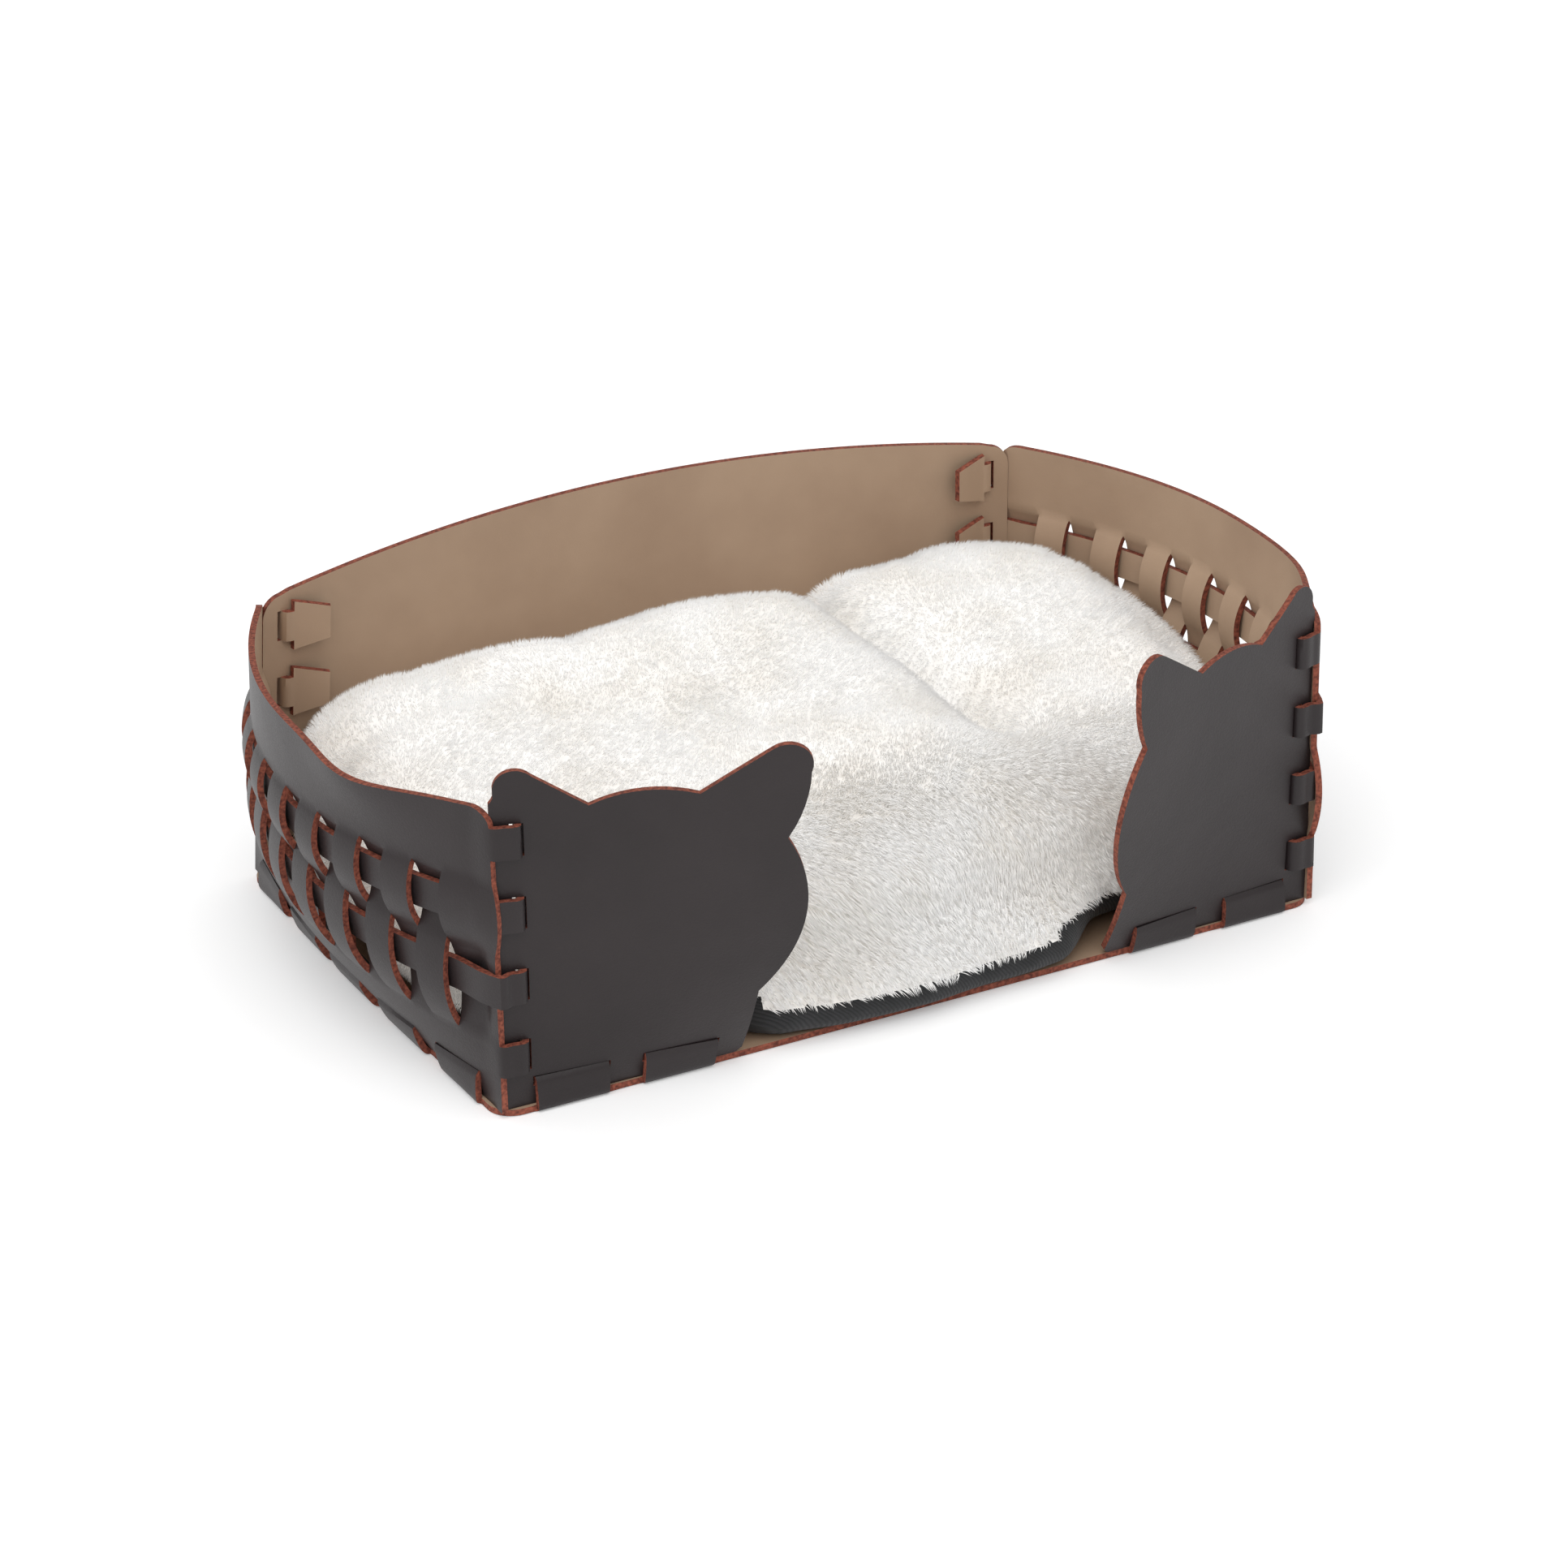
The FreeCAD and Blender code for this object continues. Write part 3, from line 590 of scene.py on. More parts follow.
INNERMOST, OUTERMOST = BASE_TAB_MARGIN, BASE_TAB_MARGIN + BASE_TAB_WIDTH
SIDE_TAB_STARTS = tab_row(INNERMOST, LENGTH - OUTERMOST, SIDE_TAB_COUNT)
BACK_TAB_STARTS = tab_row(INNERMOST - SIDE_X, SIDE_X - OUTERMOST, BACK_TAB_COUNT)
FRONT_TAB_STARTS = [SIDE_X - OUTERMOST, SIDE_X - OUTERMOST - FRONT_TAB_GAP - BASE_TAB_WIDTH]
print("base tabs:", len(SIDE_TAB_STARTS), "a side,", len(BACK_TAB_STARTS), "at the back,",
      len(FRONT_TAB_STARTS), "under each front panel")

# %% [markdown]
# ## Side walls
# The side wall is one sheet with fifteen slits. Between them sixteen strips swing in and out
# around the two straps. Edge split opens the slits, and the strips' swing is a smooth curve over
# the height, because leather never kinks.

# %% Cut a side wall
def tab_lines():
    """Where a sheet with corner tabs is ruled so that they can bend."""
    return [p for past in evenly(0, TAB_FLAT, 1.3) for p in (-past, LENGTH + past)]


def side_outline():
    right, left = ends_outline((ROWS[3], ROWS[0]))
    corner = WALL_HEIGHT - ROWS[0]
    brim = [(u, WALL_HEIGHT - BRIM_DIP * brim_bump(u)) for u in evenly(LENGTH - 30, 30, 12)]
    rounded = (arc((LENGTH - corner, ROWS[0]), corner, 0, 90)[1:] + brim
               + arc((corner, ROWS[0]), corner, 90, 180)[:-1])
    return [(0, WALL_BOTTOM), (LENGTH, WALL_BOTTOM)] + right + rounded + left


def cut_side_wall(name):
    piece = cut_outline(name, side_outline())
    slots = base_tab_slots(SIDE_TAB_STARTS)
    across = edges_of(slots, 0) + tab_lines()
    for start, end in zip(STRIP_EDGES, STRIP_EDGES[1:]):
        across += evenly(start, end, 3.3)
    along = evenly(SLIT_BOTTOM, SLIT_TOP, 3.2) + evenly(SLIT_TOP, WALL_HEIGHT, 5)
    along += evenly(WALL_BOTTOM, SLIT_BOTTOM, 4) + [SLOT_LOW, SLOT_HIGH]
    rule_lines(piece, across, along)
    punch(piece, slots)
    return piece


def open_slits(piece):
    """Splits the sheet along its fifteen slits."""
    points = points_of(piece)
    only(piece)
    edit_mode()
    bpy.ops.mesh.select_mode(type="EDGE")
    bpy.ops.mesh.select_all(action="DESELECT")
    edit_mode(False)
    for edge in piece.data.edges:
        a, b = (points[i] for i in edge.vertices)
        on_line = abs(a[0] - b[0]) < 0.01 and min(abs(a[0] - s) for s in STRIP_EDGES[1:-1]) < 0.02
        edge.select = bool(on_line and min(a[1], b[1]) > SLIT_BOTTOM - 0.02
                           and max(a[1], b[1]) < SLIT_TOP + 0.02)
    edit_mode()
    bpy.ops.mesh.edge_split(type="EDGE")
    edit_mode(False)


flat_side = cut_side_wall("side_wall_flat")
open_slits(flat_side)
print("flat side wall:", len(flat_side.data.polygons), "faces")

# %% [markdown]
# A strip is pushed out where it passes over a strap and in where it passes behind one. The outer
# edges of the first and last strips are joined to the corners, so they only ever swing outwards.

# %% How the strips swing
SWING = 6.4                                    # a strip's furthest swing from the strap
SLIT_GAP = 0.35                                # what a slit opens on each of its sides


def weave_profile(z):
    """-1 behind the lower strap, +1 over the upper strap, and 0 at the slits' two ends."""
    crossing = (LOWER_ROW + UPPER_ROW - TAB_HEIGHT) / 2
    low = np.sin(np.pi * np.clip((z - SLIT_BOTTOM) / (crossing - SLIT_BOTTOM), 0, 1))
    high = np.sin(np.pi * np.clip((z - crossing) / (SLIT_TOP - crossing), 0, 1))
    return np.abs(high) ** 0.8 - np.abs(low) ** 0.8


def strip_of_vertices(piece):
    """The strip, 1 at the front, that each vertex belongs to."""
    centres = face_centres(piece)
    strip = np.ones(len(piece.data.vertices), int)
    for polygon, centre in zip(piece.data.polygons, centres):
        k = int(np.searchsorted(STRIP_EDGES, centre[0]))
        for i in polygon.vertices:
            strip[i] = min(max(k, 1), STRIP_COUNT)
    return strip


heights = np.linspace(SLIT_BOTTOM, SLIT_TOP, 9)
print("a strip's swing up its slits, in mm:", (SWING * weave_profile(heights)).round(1).tolist())

# %% Bend both side walls
def bend_side_wall(piece, first_out):
    """Bends a flat cut into a right side wall; with first_out, strip 1 passes over the upper strap."""
    flat = points_of(piece)
    u, z = flat[:, 0], flat[:, 1]
    strip = strip_of_vertices(piece)
    sign = np.where((strip % 2 == 1) == first_out, 1, -1)
    swing = SWING * sign * weave_profile(z)
    low_edge = np.array(STRIP_EDGES)[strip - 1]
    high_edge = np.array(STRIP_EDGES)[strip]
    end_edge = (((strip == 1) & (np.abs(u) < 0.02))
                | ((strip == STRIP_COUNT) & (np.abs(u - LENGTH) < 0.02)))
    swing = np.where(end_edge | (u < 0) | (u > LENGTH), np.maximum(swing, 0), swing)
    first = (strip == 1) & (u >= 0)
    last = (strip == STRIP_COUNT) & (u <= LENGTH)
    swing = np.where(first & (swing < 0), swing * ease(u / 9), swing)
    swing = np.where(last & (swing < 0), swing * ease((LENGTH - u) / 9), swing)
    gap = SLIT_GAP * np.clip(np.abs(weave_profile(z)) * 3, 0, 1)
    u_pulled = u + gap * (np.abs(u - low_edge) < 0.02) * (strip > 1)
    u_pulled = u_pulled - gap * (np.abs(u - high_edge) < 0.02) * (strip < STRIP_COUNT)
    u_pulled = np.clip(u_pulled, 0, LENGTH)
    wall = side_wall(u_pulled, z) + swing_direction(u_pulled, z) * swing[:, None]
    wall = curl_ends(wall, u_pulled)
    front, back = u < -0.01, u > LENGTH + 0.01
    wall[front] = along_tab(False, 0.0, -u[front], z[front])
    wall[back] = along_tab(True, 0.0, u[back] - LENGTH, z[back])
    set_points(piece, wall * MM)


RIGHT_FIRST_OUT, LEFT_FIRST_OUT = False, True
TO_RIGHT, TO_FRONT, TO_BACK = (1.0, 0.0, 0.0), (0.0, -1.0, 0.0), (0.0, 1.0, 0.0)
flat_side.name = "side_wall_right"
other_side = copy_of(flat_side, "side_wall_left")
for piece, first_out in ((flat_side, RIGHT_FIRST_OUT), (other_side, LEFT_FIRST_OUT)):
    bend_side_wall(piece, first_out)
    face_out(piece, TO_RIGHT)
    thicken(piece)
settle(flat_side, "side_panel_right")
settle(mirror_copy(other_side, "side_wall_left_sheet"), "side_panel_left")
bpy.data.objects.remove(other_side)

# %% [markdown]
# ## Woven straps
# Each strap is a straight band with a lock at both ends. It lies between the strips that pass
# outside it and the strips that pass inside it.

# %% Cut and bend the four straps
def end_swing(strip, upper, first_out):
    """How far outside its end strip a strap leaves: nothing where the strip covers it."""
    passes_outside = ((strip % 2 == 1) == first_out) == upper
    return 0.0 if passes_outside else WEAVE


def make_strap(name, upper, first_out):
    top = UPPER_ROW if upper else LOWER_ROW
    right, left = ends_outline((top,))
    piece = cut_outline(name, right + left)
    rule_lines(piece, evenly(0, LENGTH, 4) + tab_lines(), evenly(top - TAB_HEIGHT, top, 3.4))
    flat = points_of(piece)
    u, z = flat[:, 0], flat[:, 1]
    front_swing = end_swing(1, upper, first_out)
    back_swing = end_swing(STRIP_COUNT, upper, first_out)
    swing = (front_swing * (1 - ease(u / FIRST_STRIP))
             + back_swing * (1 - ease((LENGTH - u) / LAST_STRIP)))
    inside = np.clip(u, 0, LENGTH)
    wall = side_wall(inside, z) + swing_direction(inside, z) * swing[:, None]
    wall = curl_ends(wall, inside)
    front, back = u < -0.01, u > LENGTH + 0.01
    wall[front] = along_tab(False, front_swing, -u[front], z[front])
    wall[back] = along_tab(True, back_swing, u[back] - LENGTH, z[back])
    set_points(piece, wall * MM)
    face_out(piece, TO_RIGHT)
    thicken(piece)
    return piece


for row, upper in (("upper", True), ("lower", False)):
    right_strap = make_strap("strap_right_" + row, upper, RIGHT_FIRST_OUT)
    settle(right_strap, "weave_strap_right_" + row)
    spare = make_strap("strap_spare", upper, LEFT_FIRST_OUT)
    settle(mirror_copy(spare, "strap_left_" + row), "weave_strap_left_" + row)
    bpy.data.objects.remove(spare)

# %% [markdown]
# ## Cat-head front panels
# One outline is drawn for the right panel and mirrored for the left one. The arcs run through
# three points each, as on a paper pattern.

# %% Cat-head outline
def arc_through(a, b, c, steps=10):
    """Points from a to c on the circle through a, b and c, without the last one."""
    (ax, ay), (bx, by), (cx, cy) = a, b, c
    d = 2 * (ax * (by - cy) + bx * (cy - ay) + cx * (ay - by))
    aa, bb, cc = ax**2 + ay**2, bx**2 + by**2, cx**2 + cy**2
    ux = (aa * (by - cy) + bb * (cy - ay) + cc * (ay - by)) / d
    uy = (aa * (cx - bx) + bb * (ax - cx) + cc * (bx - ax)) / d
    radius = math.hypot(ax - ux, ay - uy)
    start, mid, end = (math.atan2(y - uy, x - ux) for x, y in (a, b, c))
    turn = (end - start) % (2 * math.pi)
    if (mid - start) % (2 * math.pi) > turn:
        turn -= 2 * math.pi
    return [(ux + radius * math.cos(start + turn * i / steps),
             uy + radius * math.sin(start + turn * i / steps)) for i in range(steps)]


def head_outline():
    """Corners (x, z): outer edge, outer ear, brow, inner ear, cheek and chin."""
    points = [(SIDE_X, WALL_BOTTOM), (SIDE_X, 201), (SIDE_X - 1.5, 203), (278.5, 205)]
    points += arc_through((278.5, 211), (269.5, 221), (258, 217.5))
    points += [(258, 217.5)]
    points += arc_through((228, 197), (199, 204.5), (169, 200))
    points += [(169, 200)]
    points += arc_through((131, 226), (115.5, 226.5), (110, 210))
    points += arc_through((110, 210), (113, 187), (121, 167), 6)
    points += arc_through((121, 167), (106.5, 115), (127, 57), 20)
    points += [(127, 57), (127, 9), (132, WALL_BOTTOM)]
    return points


print("the cat head has", len(head_outline()), "corners")

# %% Front panels
CLOSE_FIT = 0.1                                # room above and below a tab in its slot


def corner_slot(x_corner, top):
    """Slot of a corner tab as (x0, x1, z0, z1)."""
    left = x_corner - TAB_REACH - LAP * 1.45 - LEATHER * 0.65
    return (left, left + LEATHER * 1.9,
            top - TAB_HEIGHT - CLOSE_FIT, top + CLOSE_FIT)


def make_front_panel(name):
    piece = cut_outline(name, head_outline())
    slots = [corner_slot(SIDE_X, top) for top in ROWS] + base_tab_slots(FRONT_TAB_STARTS)
    across = evenly(107, SIDE_X, 5) + edges_of(slots, 0)
    along = evenly(WALL_BOTTOM, 227, 5) + edges_of(slots, 2)
    rule_lines(piece, across, along)
    punch(piece, slots)
    flat = points_of(piece)
    set_points(piece, front_wall(flat[:, 0], flat[:, 1]) * MM)
    face_out(piece, TO_FRONT)
    thicken(piece)
    return piece


right_head = make_front_panel("cat_head_right")
left_head = mirror_copy(right_head, "cat_head_left")
settle(right_head, "front_panel_right")
settle(left_head, "front_panel_left")

# %% [markdown]
# ## Back wall
# The back wall is a long sheet with an arched top. It is narrower at the top than at the base, so
# its flat cut is kept straight and the pinch comes with the bend.

# %% Back wall
ARCH_RISE = 25.0
BACK_CORNER = 15.0                             # radius of its two top corners
CORNER_LIFT = 1.5                              # where they meet the arch, above the side walls


def back_outline():
    flat_end, centre_z = SIDE_X - BACK_CORNER, WALL_HEIGHT + CORNER_LIFT - BACK_CORNER
    arch = [(u, WALL_HEIGHT + ARCH_RISE * (1 - (u / SIDE_X) ** 2))
            for u in evenly(flat_end - 5, 5 - flat_end, 12)]
    return ([(-SIDE_X, WALL_BOTTOM), (SIDE_X, WALL_BOTTOM)]
            + arc((flat_end, centre_z), BACK_CORNER, 0, 84) + arch
            + arc((-flat_end, centre_z), BACK_CORNER, 96, 180))


def back_slots():
    """The corner slots are spread, because the pinch will bring them in again."""
    slots = []
    for row in ROWS:
        x_corner = back_corner(row - TAB_HEIGHT / 2)[0]
        x0, x1, z0, z1 = corner_slot(x_corner, row)
        stretch = SIDE_X / x_corner
        slots += [(x0 * stretch, x1 * stretch, z0, z1), (-x1 * stretch, -x0 * stretch, z0, z1)]
    return slots + base_tab_slots(BACK_TAB_STARTS)


def make_back_panel():
    piece = cut_outline("back_wall", back_outline())
    slots = back_slots()
    across = evenly(-SIDE_X, SIDE_X, 8) + edges_of(slots, 0)
    along = evenly(WALL_BOTTOM, 224, 7) + edges_of(slots, 2)
    rule_lines(piece, across, along)
    punch(piece, slots)
    flat = points_of(piece)
    u, z = flat[:, 0], flat[:, 1]
    pinch = CORNER_IN * np.minimum(z, WALL_HEIGHT) / WALL_HEIGHT
    set_points(piece, back_wall(u * (SIDE_X - pinch) / SIDE_X, z) * MM)
    face_out(piece, TO_BACK)
    thicken(piece)
    return piece


settle(make_back_panel(), "back_panel")

# %% [markdown]
# ## Base
# The base panel is a rectangle with rounded corners and a row of tabs on every side. Each tab
# curls up outside its wall and goes in through a slot.

# %% Base outline
HALF_X, HALF_Y = 286.0, 192.0
BASE_CORNER = 16.0                             # radius of the plate's corners
BASE_TAB_FLAT = 38.0                           # flat length of a base tab


def edge_tabs(starts, place):
    """Corners of a row of tabs; place turns (along the edge, past the edge) into (x, y)."""
    return [place(along, past) for start in starts
            for along, past in ((start, 0), (start, BASE_TAB_FLAT),
                                (start + BASE_TAB_WIDTH, BASE_TAB_FLAT), (start + BASE_TAB_WIDTH, 0))]


def below_front(along, past):
    return along, -HALF_Y - past


def beside_right(along, past):
    return HALF_X + past, FRONT_Y + along


def behind_back(along, past):
    return along, HALF_Y + past


def beside_left(along, past):
    return -HALF_X - past, FRONT_Y + along


def base_outline():
    """Anticlockwise from the front left: plate edges with their tabs."""
    x, y, radius = HALF_X - BASE_CORNER, HALF_Y - BASE_CORNER, BASE_CORNER
    front = sorted([-s - BASE_TAB_WIDTH for s in FRONT_TAB_STARTS] + FRONT_TAB_STARTS)
    return (arc((-x, -y), radius, 180, 270) + edge_tabs(front, below_front)
            + arc((x, -y), radius, 270, 360) + edge_tabs(SIDE_TAB_STARTS, beside_right)
            + arc((x, y), radius, 0, 90) + edge_tabs(BACK_TAB_STARTS, behind_back)[::-1]
            + arc((-x, y), radius, 90, 180) + edge_tabs(SIDE_TAB_STARTS, beside_left)[::-1])


print("the base's cut has", len(base_outline()), "corners")

# %% [markdown]
# A base tab bends like a corner tab: out and up round the wall's lower edge, close along its
# outer face, and in through the slot. Its path is worked out for each line across the tab,
# because the wall behind it is curved.

# %% Curl of a base tab
TURN_ROOM, LOW_ROOM, HIGH_ROOM = 1.8, 0.6, -1.6    # bends past the leather's own lap on the wall
TAIL_LENGTH = 12.0                             # what lies inside the wall


def curl_controls(surface, along, edge_axis, edge):
    """Control points of a base tab's curl at a place along its wall."""
    plate_middle = LEATHER / 2
    away = normals_of(surface, np.array([along]), np.array([BASE_TAB_TOP]))[0] * (1, 1, 0)
    away /= np.linalg.norm(away)
    steps = ((plate_middle, LAP + TURN_ROOM, plate_middle),
             (BASE_TAB_TOP * 0.5, LAP + LOW_ROOM, BASE_TAB_TOP * 0.5),
             (BASE_TAB_TOP, LAP + HIGH_ROOM, BASE_TAB_TOP + 0.8),
             (BASE_TAB_TOP, LEATHER * 0.1, BASE_TAB_TOP),
             (BASE_TAB_TOP, -TAIL_LENGTH, BASE_TAB_TOP))
    start = surface(np.array([along]), np.array([plate_middle]))[0]
    start[edge_axis] = edge
    controls = [start]
    for wall_z, room, z in steps:
        point = surface(np.array([along]), np.array([wall_z]))[0] + away * room
        controls.append([point[0], point[1], z])
    return np.array(controls)


def curl_tab(points, rows, surface, along, past, edge_axis, edge, mirror):
    """Moves the rows of points of one tab onto its curl."""
    for a in np.unique(np.round(along[rows], 2)):
        chosen = rows & (np.abs(along - a) < 0.006)
        curve = b_spline(curl_controls(surface, a, edge_axis, edge), 50)
        place = walk_along(curve, past[chosen] / BASE_TAB_FLAT)
        points[chosen] = place * ((-1, 1, 1) if mirror else 1)


middle_curl = b_spline(curl_controls(back_wall, 0.0, 1, HALF_Y), 50)
print("the middle back tab rises to", round(float(middle_curl[:, 2].max()), 1), "mm")

# %% Base panel
def plate_lines(half):
    """Where the plate is ruled: evenly, and closely on the tabs past its edges."""
    curls = evenly(0, BASE_TAB_FLAT, 1.6)
    return [-half - c for c in curls] + [half + c for c in curls] + evenly(-half, half, 11.5)


def make_base():
    piece = cut_outline("base_panel_sheet", base_outline())
    rule_lines(piece, plate_lines(HALF_X), plate_lines(HALF_Y))
    flat = points_of(piece)
    points = flat.copy()
    points[:, 2] = LEATHER / 2
    x, y = flat[:, 0], flat[:, 1]
    side_along = y - FRONT_Y
    curl_tab(points, x > HALF_X + 0.01, side_wall, side_along, x - HALF_X, 0, HALF_X, False)
    curl_tab(points, x < -HALF_X - 0.01, side_wall, side_along, -x - HALF_X, 0, HALF_X, True)
    front = y < -HALF_Y - 0.01
    curl_tab(points, front & (x > 0), front_wall, x, -y - HALF_Y, 1, -HALF_Y, False)
    curl_tab(points, front & (x < 0), front_wall, -x, -y - HALF_Y, 1, -HALF_Y, True)
    curl_tab(points, y > HALF_Y + 0.01, back_wall, x, y - HALF_Y, 1, HALF_Y, False)
    set_points(piece, points * MM)
    return piece


base = make_base()
on_plate = face_centres(base)[:, 2] < 0.0021   # metres: the tabs rise above it
face_out(base, np.outer(on_plate, (0.0, 0.0, -1.0)))
thicken(base)
settle(base, "base_panel")

# %% [markdown]
# ## Cushion
# The cushion is a plump bag: full at the back, with a hollow where the pet has lain and a deep
# crease towards the right. A subdivided cube is rounded into a bag, a cloth simulation with
# pressure swells it as stuffing does, and the hollows are then pressed in.

# %% Rounded bag
CUSHION_FRONT, CUSHION_BACK = -176.0, 174.0
CUSHION_BOTTOM = 4.6
WALL_GAP = 16.0                                # bag to the middle of a side wall, for fur and weave
BAG_ROOM = 13.5                                # the least that stuffing may leave of it
FULL_PLACES = [(4.0, (235, 75), (85, 90)), (11.0, (-15, 130), (95, 75)),
               (7.0, (-160, 125), (65, 55)), (6.0, (60, -95), (75, 55))]    # height, place, size


def bump_at(x, y, place, size):
    return np.exp(-(((x - place[0]) / size[0]) ** 2 + ((y - place[1]) / size[1]) ** 2))


def cushion_height(x, y):
    """Height of the stuffed top above the floor, before its hollows are pressed in."""
    height = 109.0 + 36.0 * ease((y + 170.0) / 290.0)
    for extra, place, size in FULL_PLACES:
        height = height + extra * bump_at(x, y, place, size)
    return height - 6.0 * ease((-x - 220) / 100)


def round_bag(unit):
    """Places the points of a cube from -1 to 1 on the bag; high powers make squarer corners."""
    a, b, c = unit[:, 0], unit[:, 1], unit[:, 2]
    plan, side = 8.0, np.where(c > 0, 4.5 + 3.5 * ease(a + 0.2), 9.0)
    size = ((np.abs(a) ** plan + np.abs(b) ** plan) ** (side / plan) + np.abs(c) ** side) ** (1 / side)
    largest = np.max(np.abs(unit), axis=1)
    a, b, c = a / size * largest, b / size * largest, c / size * largest
    middle_y = (CUSHION_FRONT + CUSHION_BACK) / 2
    y = middle_y + b * (CUSHION_BACK - CUSHION_FRONT) / 2
    rough_z = (c + 1) / 2 * 130.0
    wall = side_wall(np.clip(y - FRONT_Y, 0, LENGTH), rough_z)[:, 0]
    x = a * (wall - WALL_GAP)
    tongue = 14.0 * np.clip(1 - (x / 165.0) ** 2, 0, 1) * ease(-b * 1.4)
    z = CUSHION_BOTTOM + (c + 1) / 2 * (cushion_height(x, y) - CUSHION_BOTTOM)
    return np.stack([x, y - tongue, z], axis=1)


def make_bag():
    deselect_all()
    bpy.ops.mesh.primitive_cube_add(size=2)
    bag = bpy.context.object
    bag.name = "cushion_bag"
    edit_mode()
    bpy.ops.mesh.select_all(action="SELECT")
    bpy.ops.mesh.subdivide(number_cuts=23)
    edit_mode(False)
    set_points(bag, round_bag(points_of(bag)) * MM)
    return bag


bag = make_bag()
print("bag before stuffing:", np.ptp(points_of(bag), axis=0).round(3).tolist(), "m")

# %% [markdown]
# Cloth with pressure swells like a stuffed bag: flat places grow round and corners draw in. The
# voxel remesh first gives it even faces, and a limit keeps the swell inside the walls.

# %% Stuff it with a pressure simulation
SWELL_LIMIT = 9.0                              # millimetres that a point may move
SWELL_FRAMES = 18


def stuff(piece):
    only(piece)
    remesh = piece.modifiers.new("even_mesh", "REMESH")
    remesh.mode = "VOXEL"
    remesh.voxel_size = 6 * MM
    bpy.ops.object.modifier_apply(modifier=remesh.name)
    before = points_of(piece)
    cloth = piece.modifiers.new("stuffing", "CLOTH")
    cloth.settings.use_pressure = True
    cloth.settings.uniform_pressure_force = 4.0
    cloth.settings.effector_weights.gravity = 0
    cloth.settings.quality = 5
    scene = bpy.context.scene
    for frame_number in range(1, SWELL_FRAMES + 1):
        scene.frame_set(frame_number)
    bpy.ops.object.modifier_apply(modifier=cloth.name)
    scene.frame_set(1)
    moved = points_of(piece) - before
    size = np.linalg.norm(moved, axis=1)
    share = np.minimum(1, SWELL_LIMIT * MM / np.maximum(size, 1e-9))
    set_points(piece, before + moved * share[:, None])
    print("stuffing moved points by up to", round(float((size * share).max()) * 1000, 1), "mm")


stuff(bag)

# %% [markdown]
# Hollows are pressed in after the simulation, because pressure would blow them out again. A crease
# is a narrow valley along a line; its two sides swell a little, as fabric does beside a fold.

# %% Hollows, crease and flat underside
HOLLOWS = [(10.0, (-168, 86), (26, 30)), (5.0, (-215, 70), (44, 12)), (9.0, (-28, 2), (24, 34)),
           (5.0, (45, -32), (70, 15)), (6.0, (40, 176), (22, 30))]    # depth, place, size
CHIN_FORWARD, CHIN_DOWN = 25.0, 6.0            # the bag's lip hangs out over the entrance


def crease_line(y):
    """The crease runs from the back wall forward, drifting to the right."""
    return 116.0 - 23.0 * ease((y + 60.0) / 190.0)


def inside_walls(points):
    """Keeps the swollen bag clear of the woven strips and the back wall, with room for its fur."""
    x, y, z = points.T
    along = np.clip(y - FRONT_Y, 0, LENGTH)
    widest = side_wall(along, z)[:, 0] - BAG_ROOM
    back = back_wall(x, z)[:, 1] - BAG_ROOM
    return np.stack([np.clip(x, -widest, widest), np.minimum(y, back), z], axis=1)


def press_hollows(piece):
    points = points_of(piece) / MM
    x, y, z = points.T
    top = ease((z - 62.0) / 40.0)
    off = np.abs(x - crease_line(y))
    reach = ease((y + 128.0) / 60.0)
    drop = 21.0 * np.exp(-(off / 13.0) ** 2) * reach
    drop = drop + 8.0 * np.exp(-(off / 42.0) ** 2) * reach
    drop = drop - 3.5 * np.exp(-((off - 42.0) / 22.0) ** 2) * reach
    for depth, place, size in HOLLOWS:
        drop = drop + depth * bump_at(x, y, place, size)
    ripple = (np.sin(x / 19.0 + y / 27.0) + np.sin(x / 31.0 - y / 17.0 + 1.3)
              + np.sin(x / 11.0 + y / 43.0 + 2.1) * 0.5)
    z = z - top * (drop + ripple * 0.9)
    y = y + ease((-y - 150) / 20.0) * ripple * 1.1
    chin = ease((140.0 - np.abs(x)) / 45.0) * ease((60.0 - z) / 36.0) * ease((-y - 110.0) / 45.0)
    y = y - CHIN_FORWARD * chin
    z = z - CHIN_DOWN * chin * ease((40.0 - z) / 20.0)
    z = np.maximum(z, CUSHION_BOTTOM)
    set_points(piece, inside_walls(np.stack([x, y, z], axis=1)) * MM)
    only(piece)
    smooth = piece.modifiers.new("relax", "SMOOTH")
    smooth.factor, smooth.iterations = 0.5, 3
    bpy.ops.object.modifier_apply(modifier=smooth.name)
    bpy.ops.object.shade_smooth()


press_hollows(bag)
print("bag:", len(bag.data.polygons), "faces,", [round(d, 3) for d in bag.dimensions], "m")
